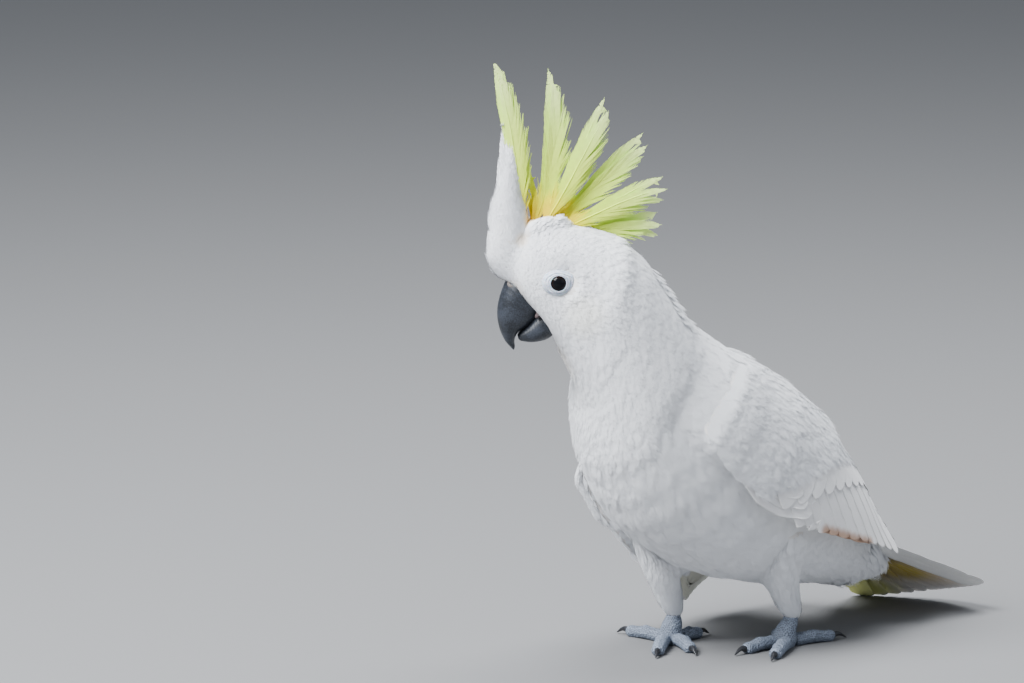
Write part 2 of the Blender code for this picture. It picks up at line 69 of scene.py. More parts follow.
MM = 0.001
PAD_RADIUS = 8 * MM  # of the flat under each foot
VIEW_AZIMUTH, VIEW_RISE = math.radians(49.4), math.radians(9.4)
VIEW_DISTANCE, FIELD_WIDTH = 6.0, 0.7211
FIELD_LEFT, FIELD_UP = 0.1514, 0.2137  # the field's middle from the point between the feet
FLOOR_HALF, FLOOR_COLOUR, FLOOR_PALER = 12.0, (0.19, 0.19, 0.193), 1.04
WORLD_COLOUR, WORLD_STRENGTH = (0.78, 0.86, 0.97), 0.42
LAMP_AIM = 0.2  # the lamps face a point this far above the feet
# Each lamp: right of the feet, above them and towards the camera, its side, its watts, its colour.
LAMPS = {
    "key_lamp": (-1.45, 2.0, 1.15, 1.6, 265.0, (0.95, 0.975, 1.0)),
    "fill_lamp": (2.0, 1.0, 1.2, 1.8, 8.0, (0.86, 0.92, 1.0)),
    "top_lamp": (0.3, 2.3, -0.7, 1.5, 78.0, (0.95, 0.975, 1.0)),
}

up = Vector((0.0, 0.0, 1.0))
pads = [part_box(node)[0] + Vector((PAD_RADIUS, PAD_RADIUS, 0.0)) for node in ("foot_left", "foot_right")]
stance = (pads[0] + pads[1]) / 2
stance.z = 0.0
back_to_camera = Vector((
    math.sin(VIEW_AZIMUTH) * math.cos(VIEW_RISE),
    -math.cos(VIEW_AZIMUTH) * math.cos(VIEW_RISE),
    math.sin(VIEW_RISE),
))
camera_right = Vector((math.cos(VIEW_AZIMUTH), math.sin(VIEW_AZIMUTH), 0.0))
camera_up = back_to_camera.cross(camera_right)
view_middle = stance - camera_right * FIELD_LEFT + camera_up * FIELD_UP

camera_data = bpy.data.cameras.new("camera")
camera_data.sensor_width = 36.0
camera_data.lens = camera_data.sensor_width * VIEW_DISTANCE / FIELD_WIDTH
camera_data.clip_end = 50.0
camera = bpy.data.objects.new("camera", camera_data)
camera.location = view_middle + back_to_camera * VIEW_DISTANCE
camera.rotation_euler = back_to_camera.to_track_quat("Z", "Y").to_euler()
bpy.context.scene.collection.objects.link(camera)
bpy.context.scene.camera = camera

for name, (right, above, near, size, watts, colour) in LAMPS.items():
    lamp_data = bpy.data.lights.new(name, "AREA")
    lamp_data.size, lamp_data.energy, lamp_data.color = size, watts, colour
    lamp = bpy.data.objects.new(name, lamp_data)
    place = stance + camera_right * right + up * above + back_to_camera * near
    lamp.location = place
    lamp.rotation_euler = (place - (stance + up * LAMP_AIM)).to_track_quat("Z", "Y").to_euler()
    bpy.context.scene.collection.objects.link(lamp)

world = bpy.data.worlds.new("studio")
world.use_nodes = True
background = world.node_tree.nodes["Background"]
background.inputs["Color"].default_value = (*WORLD_COLOUR, 1.0)
background.inputs["Strength"].default_value = WORLD_STRENGTH
bpy.context.scene.world = world


def new_material(name, roughness, specular=0.3):
    """A material with its Principled shader, which the piece's own section goes on to fill in."""
    mat = bpy.data.materials.new(name)
    mat.use_nodes = True
    shader = mat.node_tree.nodes["Principled BSDF"]
    shader.inputs["Roughness"].default_value = roughness
    shader.inputs["Specular IOR Level"].default_value = specular
    return mat, mat.node_tree, shader


def add_node(tree, kind, links=None, **settings):
    """A node with its settings, whose inputs are linked from sockets or set to values."""
    made = tree.nodes.new(kind)
    for key, value in settings.items():
        setattr(made, key, value)
    for key, value in (links or {}).items():
        if isinstance(value, bpy.types.NodeSocket):
            tree.links.new(value, made.inputs[key])
        else:
            made.inputs[key].default_value = value
    return made


def add_mesh(name, points, faces, mat):
    """An object from points in metres and faces, shaded smooth, with its place in its mesh."""
    mesh = bpy.data.meshes.new(name)
    mesh.from_pydata([tuple(p) for p in points], [], [tuple(f) for f in faces])
    mesh.polygons.foreach_set("use_smooth", [True] * len(mesh.polygons))
    mesh.materials.append(mat)
    obj = bpy.data.objects.new(name, mesh)
    bpy.context.scene.collection.objects.link(obj)
    return obj


def clouds(tree, scale, detail=2.0, roughness=0.5):
    """A cloudy pattern that keeps its place on the piece."""
    place = add_node(tree, "ShaderNodeTexCoord").outputs["Object"]
    settings = {"Vector": place, "Scale": scale, "Detail": detail, "Roughness": roughness}
    return add_node(tree, "ShaderNodeTexNoise", settings).outputs["Fac"]


def mix_colours(tree, share, first, second, **settings):
    """The colour between two, each of them a colour or another node's output."""
    ends = [(*tone, 1.0) if isinstance(tone, tuple) else tone for tone in (first, second)]
    links = {"Factor": share, 6: ends[0], 7: ends[1]}
    return add_node(tree, "ShaderNodeMix", links, data_type="RGBA", **settings).outputs[2]


floor_paint, tree, shader = new_material("floor_paint", roughness=0.9, specular=0.1)
paler = tuple(c * FLOOR_PALER for c in FLOOR_COLOUR)
tree.links.new(mix_colours(tree, clouds(tree, 0.8), FLOOR_COLOUR, paler), shader.inputs["Base Color"])
floor_corners = [(x * FLOOR_HALF, y * FLOOR_HALF, 0.0) for x, y in ((-1, -1), (1, -1), (1, 1), (-1, 1))]
add_mesh("floor", floor_corners, [(0, 1, 2, 3)], floor_paint)

# --- The skin -----------------------------------------------------------------------------------
# One bare skin under all the plumage, over head, neck, trunk, wings and thighs. It is the flesh's
# shape drawn in by the depth of the feathers that grow on each place.

SKIN_NODES = ("head", "neck", "trunk", "wing_left", "wing_right", "leg_left", "leg_right", "crest_front")
SEAM_FILL = 0.5 * MM  # the parts swell by this, so that the cuts between them close
SKIN_CELL = 1.9 * MM
SKIN_SMOOTHING = 14
COAT_DEPTH = 0.17  # depth of the coat as a share of a feather's length

eye_middles = {side: sum(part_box("eye_" + side), Vector()) / 2 for side in ("left", "right")}
head_left = (eye_middles["left"] - eye_middles["right"]).normalized()
head_ahead = head_left.cross(up)
EYE_AHEAD, EYE_RISE = 10.0, 8.5
eye_line = (eye_middles["left"] + eye_middles["right"]) / 2
head_middle = eye_line - (head_ahead * EYE_AHEAD + up * EYE_RISE) * MM
EYE_STEP = 2.3  # the dressed eyes sit this much further ahead than the solid ones
eye_middles = {side: middle + head_ahead * EYE_STEP * MM for side, middle in eye_middles.items()}


def head_spot(ahead, rise, left=0.0):
    """A place on the head in millimetres from its middle: ahead, up, and to the bird's left."""
    return head_middle + (head_ahead * ahead + up * rise + head_left * left) * MM


AXIS_RISE = math.radians(43.2)  # the trunk's axis runs down to the tail at this slope
axis_back = Vector((0.0, math.cos(AXIS_RISE), -math.sin(AXIS_RISE)))
axis_across = Vector((0.0, math.sin(AXIS_RISE), math.cos(AXIS_RISE)))


def merged_copy(name, nodes, grow=0.0):
    """One mesh of the solids of these nodes, each merged along its edges and swollen by grow."""
    whole = bmesh.new()
    for node in nodes:
        part = bmesh.new()
        part.from_mesh(frame["nodes"][node].data)
        bmesh.ops.remove_doubles(part, verts=part.verts, dist=0.01 * MM)
        part.normal_update()
        swollen = [v.co + v.normal * grow for v in part.verts]
        for v, place in zip(part.verts, swollen):
            v.co = place
        mesh = bpy.data.meshes.new(name)
        part.to_mesh(mesh)
        part.free()
        whole.from_mesh(mesh)
        bpy.data.meshes.remove(mesh)
    mesh = bpy.data.meshes.new(name)
    whole.to_mesh(mesh)
    whole.free()
    obj = bpy.data.objects.new(name, mesh)
    bpy.context.scene.collection.objects.link(obj)
    return obj


def made_plain(obj):
    """The object's shape with its modifiers applied, and the modifiers gone."""
    graph = bpy.context.evaluated_depsgraph_get()
    graph.update()
    mesh = bpy.data.meshes.new_from_object(obj.evaluated_get(graph), depsgraph=graph)
    obj.modifiers.clear()
    old, obj.data = obj.data, mesh
    bpy.data.meshes.remove(old)
    return obj


def remeshed(obj, cell, smoothing):
    """The object as one even net of small faces, with its facets and cuts smoothed away."""
    remesh = obj.modifiers.new("even net", "REMESH")
    remesh.mode, remesh.voxel_size = "VOXEL", cell
    smooth = obj.modifiers.new("smooth", "SMOOTH")
    smooth.iterations, smooth.factor = smoothing, 0.5
    return made_plain(obj)


def read_values(data, key, width=1):
    """The values of one key of a mesh's points, edges, faces or attribute as an array."""
    found = np.empty(len(data) * width, np.float32)
    data.foreach_get(key, found)
    return found.reshape(-1, width) if width > 1 else found


def write_values(mesh, name, values):
    """A named attribute on the mesh's points, of numbers or of vectors."""
    kind, key = ("FLOAT_VECTOR", "vector") if values.ndim == 2 else ("FLOAT", "value")
    attribute = mesh.attributes.new(name, kind, "POINT")
    attribute.data.foreach_set(key, values.astype(np.float32).ravel())


def unit(vectors):
    """The vectors made one long."""
    return vectors / np.maximum(np.linalg.norm(vectors, axis=-1, keepdims=True), 1e-12)


def laid_flat(ways, normals):
    """The ways turned until they lie flat on a surface with these normals."""
    return unit(ways - np.sum(ways * normals, axis=1, keepdims=True) * normals)


def paint_over(obj, mat):
    """Gives the whole object one material and smooth shading."""
    obj.data.materials.clear()
    obj.data.materials.append(mat)
    obj.data.polygons.foreach_set("use_smooth", [True] * len(obj.data.polygons))


def step_up(values, low, high):
    """0 below low, 1 above high and a smooth rise between."""
    share = np.clip((values - low) / (high - low), 0.0, 1.0)
    return share * share * (3 - 2 * share)


skin = remeshed(merged_copy("skin", SKIN_NODES, SEAM_FILL), SKIN_CELL, SKIN_SMOOTHING)
skin_points = read_values(skin.data.vertices, "co", 3)
skin_normals = read_values(skin.data.vertices, "normal", 3)
skin_edges = np.empty(len(skin.data.edges) * 2, np.int32)
skin.data.edges.foreach_get("vertices", skin_edges)
skin_edges = skin_edges.reshape(-1, 2)
neighbour_count = np.bincount(skin_edges.ravel(), minlength=len(skin_points))[:, None]


def spread(values, rounds):
    """Values on the skin's points, each averaged with its neighbours so many times."""
    values = values.reshape(len(values), -1).astype(float)
    for _ in range(rounds):
        total = np.stack([
            np.bincount(skin_edges[:, 0], column[skin_edges[:, 1]], len(values))
            + np.bincount(skin_edges[:, 1], column[skin_edges[:, 0]], len(values))
            for column in values.T
        ], axis=1)
        values = (values + total) / (1 + neighbour_count)
    return values


# Which part each place of the skin belongs to, with soft borders.
trees = []
for node in SKIN_NODES:
    solid = frame["nodes"][node].data
    corners = [tuple(v.co) for v in solid.vertices]
    trees.append(BVHTree.FromPolygons(corners, [tuple(p.vertices) for p in solid.polygons]))
distances = np.array([[tree.find_nearest(Vector(p))[3] for tree in trees] for p in skin_points])
nearest = np.argmin(distances, axis=1)
BORDER_ROUNDS = 6
share = spread(np.eye(len(SKIN_NODES))[nearest], BORDER_ROUNDS)
share_of = dict(zip(SKIN_NODES, share.T))

# The wing's front blends into the breast: the step round the shoulder is drawn out into a long slope
# between two lines round the body, one before the wing and one on it.
SLOPE_START, SLOPE_END = -212.0, -140.0
FADE_IN, FADE_OUT = (0, 12), (-8, 2)  # where the slope begins and ends, from its start and its end
ROUND_IN, ROUND_OUT = (4, 22), (98, 130)  # and round the axis, in degrees from the back
LINE_HALF, ROUND_STEP, ROUND_REACH = 4.0, 5.0, 150.0
WING_AXIS = 80.0  # across the trunk's axis, where both wings' ovals have their middle
off_axis = (skin_points - np.array(stance)) / MM
along_axis = off_axis @ np.array(axis_back)
above_axis = off_axis @ np.array(axis_across) - WING_AXIS
round_axis = np.degrees(np.arctan2(off_axis[:, 0], above_axis))
from_axis = np.hypot(off_axis[:, 0], above_axis)
round_bins = np.arange(-ROUND_REACH, ROUND_REACH + 0.1, ROUND_STEP)


def line_round(place):
    """The skin's distance from the wing's axis at one place along it, for each point's own side."""
    on_line = np.abs(along_axis - place) < LINE_HALF
    total = np.histogram(round_axis[on_line], round_bins, weights=from_axis[on_line])[0]
    found = np.histogram(round_axis[on_line], round_bins)[0]
    middles = (round_bins[:-1] + round_bins[1:]) / 2
    known = found > 0
    return np.interp(round_axis, middles[known], total[known] / found[known])


sloped = line_round(SLOPE_START) + (line_round(SLOPE_END) - line_round(SLOPE_START)) * step_up(
    along_axis, SLOPE_START, SLOPE_END
)
inside = step_up(along_axis, SLOPE_START + FADE_IN[0], SLOPE_START + FADE_IN[1])
inside *= 1 - step_up(along_axis, SLOPE_END + FADE_OUT[0], SLOPE_END + FADE_OUT[1])
inside *= step_up(np.abs(round_axis), *ROUND_IN) * (1 - step_up(np.abs(round_axis), *ROUND_OUT))
outward = off_axis - np.outer(along_axis, np.array(axis_back)) - WING_AXIS * np.array(axis_across)
moved = spread(unit(outward) * ((sloped - from_axis) * inside)[:, None], BORDER_ROUNDS)
skin_points = skin_points + moved * MM

# Soft swellings of the plumage: where, how far they reach and how far they rise, in millimetres.
SWELLINGS = (
    ((30, 43, 9), 8.5, 5.6),
    ((21, 47, 10), 8.5, 5.6),
    ((13, 47, 9), 8.0, 6.0),
    ((14, 25, 22), 13.0, 1.6),
    ((-8, -14, 27), 20.0, 1.8),
)
for (ahead, rise, left), reach, swell in SWELLINGS:
    for sign in (1, -1):
        middle = np.array(head_spot(ahead, rise, left * sign))
        away = np.linalg.norm(skin_points - middle, axis=1) / (reach * MM)
        skin_points = skin_points + skin_normals * (np.clip(1 - away ** 2, 0, 1) ** 2 * swell * MM)[:, None]


def place_skin(points):
    """Puts the skin's points in these places."""
    skin.data.vertices.foreach_set("co", points.astype(np.float32).ravel())
    skin.data.update()


place_skin(skin_points)
skin_normals = read_values(skin.data.vertices, "normal", 3)

# How the plumage lies and how long it is: away from the bill over the head, along the trunk to the
# tail, down the thighs and up the forehead, each measured where it grows.
BILL_ROOT = head_spot(46, -4)
FACE_LINE = head_spot(0, 14).z  # above it the face's feathers lie up and back, below it down and back
share_head = share_of["head"]
share_front = share_of["crest_front"]
share_leg = share_of["leg_left"] + share_of["leg_right"]
share_wing = share_of["wing_left"] + share_of["wing_right"]
share_neck = share_of["neck"]
share_trunk = share_of["trunk"]
from_bill = skin_points - np.array(BILL_ROOT)
bill_distance = np.linalg.norm(from_bill, axis=1)
crown_lie = np.array(-head_ahead * 0.85 + up * 0.35)
cheek_lie = np.array(-up * 0.5 - head_ahead * 0.4)
above_line = (skin_points @ np.array(up) > FACE_LINE)[:, None]
face_lie = unit(from_bill) * 0.8 + np.where(above_line, crown_lie, cheek_lie)
neck_lie = np.array(axis_back) * 0.75 + unit(from_bill) * 0.5 - np.array(up) * 0.15
leg_lie = np.array((0.0, 0.12, -1.0))
front_lie = np.array(up) + np.array(head_ahead) * 0.12
wing_lie = np.array(axis_back) - np.array(up) * 0.10
lie = (
    share_head[:, None] * unit(face_lie)
    + share_neck[:, None] * unit(neck_lie)
    + share_trunk[:, None] * np.array(axis_back)
    + share_leg[:, None] * leg_lie
    + share_front[:, None] * front_lie
    + share_wing[:, None] * wing_lie
)
LIE_ROUNDS, NORMAL_ROUNDS = 10, 14
soft_normals = unit(spread(skin_normals, NORMAL_ROUNDS))
lie = laid_flat(spread(lie, LIE_ROUNDS), soft_normals)

# Feather lengths in millimetres: the shortest, how much longer they grow, and between which places.
FACE_LENGTHS = (4.6, 5.6, 12 * MM, 85 * MM)  # from the bill's root
NECK_LENGTHS = (10.5, 5.0, 70 * MM, 150 * MM)
LEG_LENGTHS = (6.0, 6.0, 24 * MM, 70 * MM)  # above the floor
TRUNK_LENGTHS = (19.0, 5.0, 20, 70)  # along the trunk's axis in millimetres, where it faces down
FRONT_LENGTH, WING_LENGTH = 8.0, 12.0


def grown(lengths, places, part=1.0):
    """Feather lengths at these places, where part says how much of the growth a place takes."""
    shortest, growth, start, end = lengths
    return shortest + growth * step_up(places, start, end) * part


height = skin_points[:, 2]
facing_down = 1 - step_up(soft_normals @ np.array(axis_across), -0.5, 0.1)
feather_length = (
    share_head * grown(FACE_LENGTHS, bill_distance)
    + share_neck * grown(NECK_LENGTHS, bill_distance)
    + share_trunk * grown(TRUNK_LENGTHS, along_axis, facing_down)
    + share_leg * grown(LEG_LENGTHS, height)
    + share_front * FRONT_LENGTH
    + share_wing * WING_LENGTH
)
feather_length = spread(feather_length, BORDER_ROUNDS)[:, 0]
skin_points = skin_points - soft_normals * (feather_length * COAT_DEPTH * MM)[:, None]
place_skin(skin_points)

# Marks that skin and plumage share: where each lies, how far it reaches, its colour and its strength.
MARKS = {
    # Painted shade: a tan darkening of the throat under the bill.
    "throat_shade": (head_spot(16, -52, 6), 24, (0.74, 0.57, 0.40), 0.36),
    "lore_left": (head_spot(36, 3, 9), 11, (0.72, 0.60, 0.45), 0.30),
    "lore_right": (head_spot(36, 3, -9), 11, (0.72, 0.60, 0.45), 0.30),
    "crest_root": (head_spot(30, 50, 0), 12, (1.0, 0.62, 0.05), 0.75),
    "crest_root_back": (head_spot(14, 54, 0), 12, (1.0, 0.66, 0.08), 0.70),
    # Painted shade: a tan line in the crease at each side of the foot of the forehead's white column.
    "fold_shade_left": (head_spot(36, 36, 10), 7, (0.84, 0.66, 0.42), 0.45),
    "fold_shade_right": (head_spot(36, 36, -10), 7, (0.84, 0.66, 0.42), 0.45),
    "cheek_left": (head_spot(-6, -14, 30), 22, (0.94, 0.90, 0.70), 0.25),
    "cheek_right": (head_spot(-6, -14, -30), 22, (0.94, 0.90, 0.70), 0.25),
}
MARK_CORE = 0.25  # share of a mark's reach over which it is at its full strength
MOTTLE_SCALE, FLUFF_SCALE = 55.0, 900.0
BARB_HEIGHT = 0.22  # of the rows of barbs, against the fluff


def maths(tree, operation, *values):
    """One sum on numbers or on other nodes' outputs."""
    return add_node(tree, "ShaderNodeMath", dict(enumerate(values)), operation=operation).outputs[0]


def roughen(tree, shader, height, strength, distance=0.0003):
    """Fine relief on a surface."""
    settings = {"Height": height, "Strength": strength, "Distance": distance}
    tree.links.new(add_node(tree, "ShaderNodeBump", settings).outputs["Normal"], shader.inputs["Normal"])


def plumage_material(name, root, tip, mottle, marks=MARKS, barbs=0.0):
    """White plumage with a tint at its root and at its tip, faint mottles, and the marks laid over it.
    Where the rows of barbs show, barbs is the room between them in millimetres."""
    mat, tree, shader = new_material(name, roughness=0.82, specular=0.15)
    along = add_node(tree, "ShaderNodeAttribute", attribute_name="along").outputs["Fac"]
    place = add_node(tree, "ShaderNodeTexCoord").outputs["Object"]
    tone = add_node(tree, "ShaderNodeMapRange", {
        "Value": clouds(tree, MOTTLE_SCALE, 4.0), "From Min": 0.35, "From Max": 0.65,
        "To Min": 1.0 - mottle, "To Max": 1.0,
    }).outputs["Result"]
    colour = mix_colours(tree, 1.0, mix_colours(tree, along, root, tip), tone, blend_type="MULTIPLY")
    for middle, reach, tint, strength in marks.values():
        away = add_node(tree, "ShaderNodeVectorMath", {0: place, 1: tuple(middle)}, operation="DISTANCE")
        amount = add_node(tree, "ShaderNodeMapRange", {
            "Value": away.outputs["Value"], "From Min": reach * MM, "From Max": reach * MARK_CORE * MM,
            "To Min": 0.0, "To Max": strength,
        }, interpolation_type="SMOOTHSTEP")
        colour = mix_colours(tree, amount.outputs["Result"], colour, tint)
    tree.links.new(colour, shader.inputs["Base Color"])
    height = clouds(tree, FLUFF_SCALE)
    if barbs:
        row = add_node(tree, "ShaderNodeAttribute", attribute_name="barb").outputs["Fac"]
        wave = maths(tree, "SINE", maths(tree, "MULTIPLY", row, 2 * math.pi / barbs))
        height = maths(tree, "ADD", maths(tree, "MULTIPLY", wave, BARB_HEIGHT), height)
    roughen(tree, shader, height, 0.18, 0.0004)
    shader.inputs["Sheen Weight"].default_value = 0.25
    shader.inputs["Sheen Roughness"].default_value = 0.6
    return mat


BARE_TONE = (0.85, 0.82, 0.80)
skin_tint = plumage_material("bare_skin", BARE_TONE, BARE_TONE, 0.06)
paint_over(skin, skin_tint)

# The unwrap of the skin gives every feather its own small patch of the colour map.
bpy.context.view_layer.objects.active = skin
skin.select_set(True)
bpy.ops.object.mode_set(mode="EDIT")
bpy.ops.mesh.select_all(action="SELECT")
bpy.ops.uv.smart_project(angle_limit=math.radians(66), island_margin=0.003)
bpy.ops.object.mode_set(mode="OBJECT")
skin.select_set(False)
skin.data.uv_layers[0].name = "unwrap"

for name, values in (("lie", lie), ("skin_up", soft_normals), ("feather_length", feather_length)):
    write_values(skin.data, name, values)
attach(skin, "root")
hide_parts(*SKIN_NODES)

# --- The small feathers -------------------------------------------------------------------------
# Each contour feather is a cupped vane of barbs that part at the edge. They grow from the skin,
# lean back along it and lie over each other like shingles: fine on the face, broad on the breast.

STRANDS = 11
STRAND_STEPS = ((0.0, 0.80), (0.55, 1.0), (1.0, 0.14))  # share along a strand, share of its width
STRAND_WIDTH = 0.62  # half width of a strand as a share of the room it has
# Where the strands leave the shaft: the middle one, how much later the outer ones, and how far out.
FIRST_ROOT, LATER_ROOT, ROOT_OUT = 0.02, 0.26, 0.42
ROUND_TIP, STRAND_BOW = 0.30, 0.22  # how much shorter the outer strands end, and how far they bow


def small_feather(name, seed, half_width, cup, arch):
    """A feather one unit long on +X, its upper face to +Z, whose barbs close to a vane and part at
    the tip."""
    rng = np.random.default_rng(seed)
    points, faces = [], []
    for u in np.linspace(-1.0, 1.0, STRANDS)[rng.permutation(STRANDS)]:
        wide = 2 * half_width / STRANDS * STRAND_WIDTH
        start = (FIRST_ROOT + LATER_ROOT * abs(u), u * half_width * ROOT_OUT)
        end = ((1 - ROUND_TIP * u * u) * rng.uniform(0.88, 1.02), u * half_width * rng.uniform(0.92, 1.12))
        bow = u * half_width * STRAND_BOW
        above = rng.uniform(-0.006, 0.006)
        first = len(points)
        for share, width in STRAND_STEPS:
            x = start[0] + (end[0] - start[0]) * share
            y = start[1] + (end[1] - start[1]) * share + bow * math.sin(math.pi * share)
            for sign in (-1, 1):
                across = y + sign * wide * width
                lift = arch * math.sin(math.pi * min(x, 1.0)) - cup * (across / half_width) ** 2 + above
                points.append((x, across, lift))
        for k in range(len(STRAND_STEPS) - 1):
            a = first + 2 * k
            faces.append((a, a + 2, a + 3, a + 1))
    mesh = bpy.data.meshes.new(name)
    mesh.from_pydata(points, [], faces)
    mesh.polygons.foreach_set("use_smooth", [True] * len(faces))
    shape = np.array(points)
    write_values(mesh, "along", np.clip(shape[:, 0], 0.0, 1.0))
    write_values(mesh, "patch", np.stack([shape[:, 0], shape[:, 1] + 0.5, np.zeros(len(shape))], axis=1))
    return bpy.data.objects.new(name, mesh)


def feather_kinds(name, half_width, cup, arch, count=4):
    """A hidden set of a few feathers that differ a little, for the scattering to choose from."""
    kinds = bpy.data.collections.new(name)
    for seed in range(count):
        kinds.objects.link(small_feather("%s_%d" % (name, seed), seed, half_width, cup, arch))
    return kinds


DENSITY = 4.0e6  # feathers tried on a square metre, before those too near each other go


def grow_tree():
    """The tree that plants feathers on a skin: spaced apart, turned to the lie, leaning outward."""
    tree = bpy.data.node_groups.new("grow_feathers", "GeometryNodeTree")
    for name, kind in (
        ("Skin", "NodeSocketGeometry"), ("Feathers", "NodeSocketCollection"), ("Spacing", "NodeSocketFloat"),
        ("Lean", "NodeSocketFloat"), ("Size", "NodeSocketFloat"), ("Kinds", "NodeSocketInt"),
        ("Seed", "NodeSocketInt"), ("Paint", "NodeSocketMaterial"),
    ):
        tree.interface.new_socket(name, in_out="INPUT", socket_type=kind)
    tree.interface.new_socket("Coat", in_out="OUTPUT", socket_type="NodeSocketGeometry")
    start = tree.nodes.new("NodeGroupInput").outputs

    def attribute(name, kind):
        found = add_node(tree, "GeometryNodeInputNamedAttribute", {"Name": name}, data_type=kind)
        return found.outputs["Attribute"]

    def chance(low, high, offset, kind="FLOAT"):
        seed = maths(tree, "ADD", start["Seed"], float(offset))
        drawn = add_node(tree, "FunctionNodeRandomValue", {"Seed": seed}, data_type=kind)
        low_socket, high_socket, out = {"FLOAT": (2, 3, 1), "INT": (4, 5, 2)}[kind]
        for place, value in ((low_socket, low), (high_socket, high)):
            if isinstance(value, bpy.types.NodeSocket):
                tree.links.new(value, drawn.inputs[place])
            else:
                drawn.inputs[place].default_value = value
        return drawn.outputs[out]

    roots = add_node(tree, "GeometryNodeDistributePointsOnFaces", {
        "Mesh": start["Skin"], "Distance Min": start["Spacing"], "Density Max": DENSITY,
        "Density Factor": attribute("grow", "FLOAT"), "Seed": start["Seed"],
    }, distribute_method="POISSON")
    stand = add_node(tree, "FunctionNodeAxesToRotation", {
        "Primary Axis": attribute("lie", "FLOAT_VECTOR"),
        "Secondary Axis": attribute("skin_up", "FLOAT_VECTOR"),
    }, primary_axis="X", secondary_axis="Z")
    lean = maths(tree, "MULTIPLY", start["Lean"], chance(-1.25, -0.75, 1))
    turn = add_node(tree, "ShaderNodeCombineXYZ", {
        "X": chance(-0.03, 0.03, 2), "Y": lean, "Z": chance(-0.16, 0.16, 3),
    })
    bend = add_node(tree, "FunctionNodeEulerToRotation", {"Euler": turn.outputs[0]})
    leaning = add_node(tree, "FunctionNodeRotateRotation", {
        "Rotation": stand.outputs[0], "Rotate By": bend.outputs[0],
    }, rotation_space="LOCAL")
    length = maths(tree, "MULTIPLY", attribute("feather_length", "FLOAT"), start["Size"])
    size = maths(tree, "MULTIPLY", length, chance(0.82, 1.15, 4))
    kinds = add_node(tree, "GeometryNodeCollectionInfo", {
        "Collection": start["Feathers"], "Separate Children": True, "Reset Children": True,
    })
    top_kind = maths(tree, "SUBTRACT", start["Kinds"], 1.0)
    planted = add_node(tree, "GeometryNodeInstanceOnPoints", {
        "Points": roots.outputs["Points"], "Instance": kinds.outputs[0], "Pick Instance": True,
        "Instance Index": chance(0, top_kind, 5, "INT"), "Rotation": leaning.outputs[0], "Scale": size,
    })
    real = add_node(tree, "GeometryNodeRealizeInstances", {"Geometry": planted.outputs[0]})
    painted = add_node(tree, "GeometryNodeSetMaterial", {
        "Geometry": real.outputs[0], "Material": start["Paint"],
    })
    finish = tree.nodes.new("NodeGroupOutput")
    tree.links.new(painted.outputs[0], finish.inputs["Coat"])
    return tree


GROW = grow_tree()
PATCH = 0.003  # width of a feather's patch on the colour map
OWN_NORMAL = 0.08  # how far a feather shades by its own face, against the body's


def finish_coat(obj):
    """Gives a realized coat its colour map and the soft shading that follows the body."""
    mesh = obj.data
    corner_points = np.empty(len(mesh.loops), np.int32)
    mesh.loops.foreach_get("vertex_index", corner_points)
    unwrap = mesh.attributes["unwrap"]
    width = 2 if unwrap.data_type == "FLOAT2" else 3
    roots = read_values(unwrap.data, "vector", width)[:, :2]
    low, high = roots.min(axis=0), roots.max(axis=0)
    roots = 0.01 + 0.98 * (roots - low) / (high - low)
    local = read_values(mesh.attributes["patch"].data, "vector", 3)[:, :2]
    spots = np.clip(roots + (local - 0.5) * PATCH, 0.001, 0.999)
    mesh.attributes.remove(unwrap)
    chart = mesh.uv_layers.new(name="OFBake")
    chart.data.foreach_set("uv", spots[corner_points].astype(np.float32).ravel())
    own = read_values(mesh.vertices, "normal", 3)
    soft = read_values(mesh.attributes["skin_up"].data, "vector", 3)
    own *= np.where(np.sum(own * soft, axis=1) < 0, -1.0, 1.0)[:, None]
    blended = unit(own * OWN_NORMAL + soft * (1 - OWN_NORMAL))
    mesh.normals_split_custom_set_from_vertices(blended.tolist())
    for name in ("skin_up", "lie", "feather_length", "patch", "grow"):
        if name in mesh.attributes:
            mesh.attributes.remove(mesh.attributes[name])


def plant(obj, where, settings):
    """Grows feathers or scales on a copy of a skin, with the tree's named inputs, and keeps them alone."""
    write_values(obj.data, "grow", where)
    grow = obj.modifiers.new("grow", "NODES")
    grow.node_group = GROW
    for item in GROW.interface.items_tree:
        if item.name in settings:
            grow[item.identifier] = settings[item.name]
    made_plain(obj)


def grow_coat(name, where, spacing, lean, kinds, paint, size=1.0, seed=1, body=None):
    """One piece of the coat: feathers where the share is above nothing, this many millimetres apart."""
    coat = bpy.data.objects.new(name, (body or skin).data.copy())
    bpy.context.scene.collection.objects.link(coat)
    plant(coat, where, {
        "Feathers": kinds, "Spacing": spacing * MM, "Lean": math.radians(lean), "Size": size * MM,
        "Kinds": len(kinds.objects), "Seed": seed, "Paint": paint,
    })
    finish_coat(coat)
    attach(coat, "root")


# The white is faintly blue: a painted tint of the cool light that falls on it.
white_feathers = plumage_material("white_feathers", (0.872, 0.882, 0.905), (0.885, 0.895, 0.92), 0.015)
fine_kinds = feather_kinds("fine_feather", 0.24, 0.015, 0.025)
broad_kinds = feather_kinds("broad_feather", 0.26, 0.012, 0.02)

EYE_RING, RING_DEEP = (11.0, 9.0), 16.0  # the bare oval's half length and height, and how deep it goes
bare = np.zeros(len(skin_points), bool)
for side, middle in eye_middles.items():
    away = skin_points - np.array(middle)
    ahead = away @ np.array(head_ahead) / (EYE_RING[0] * MM)
    rise = away @ np.array(up) / (EYE_RING[1] * MM)
    near = np.linalg.norm(away, axis=1) < RING_DEEP * MM
    bare |= near & (ahead ** 2 + rise ** 2 < 1.0)
feathered = np.where(bare, 0.0, 1.0)
on_head = (share_leg < 0.5) & (share_front < 0.5) & (share_wing < 0.5)
facing_up = soft_normals @ np.array(axis_across)
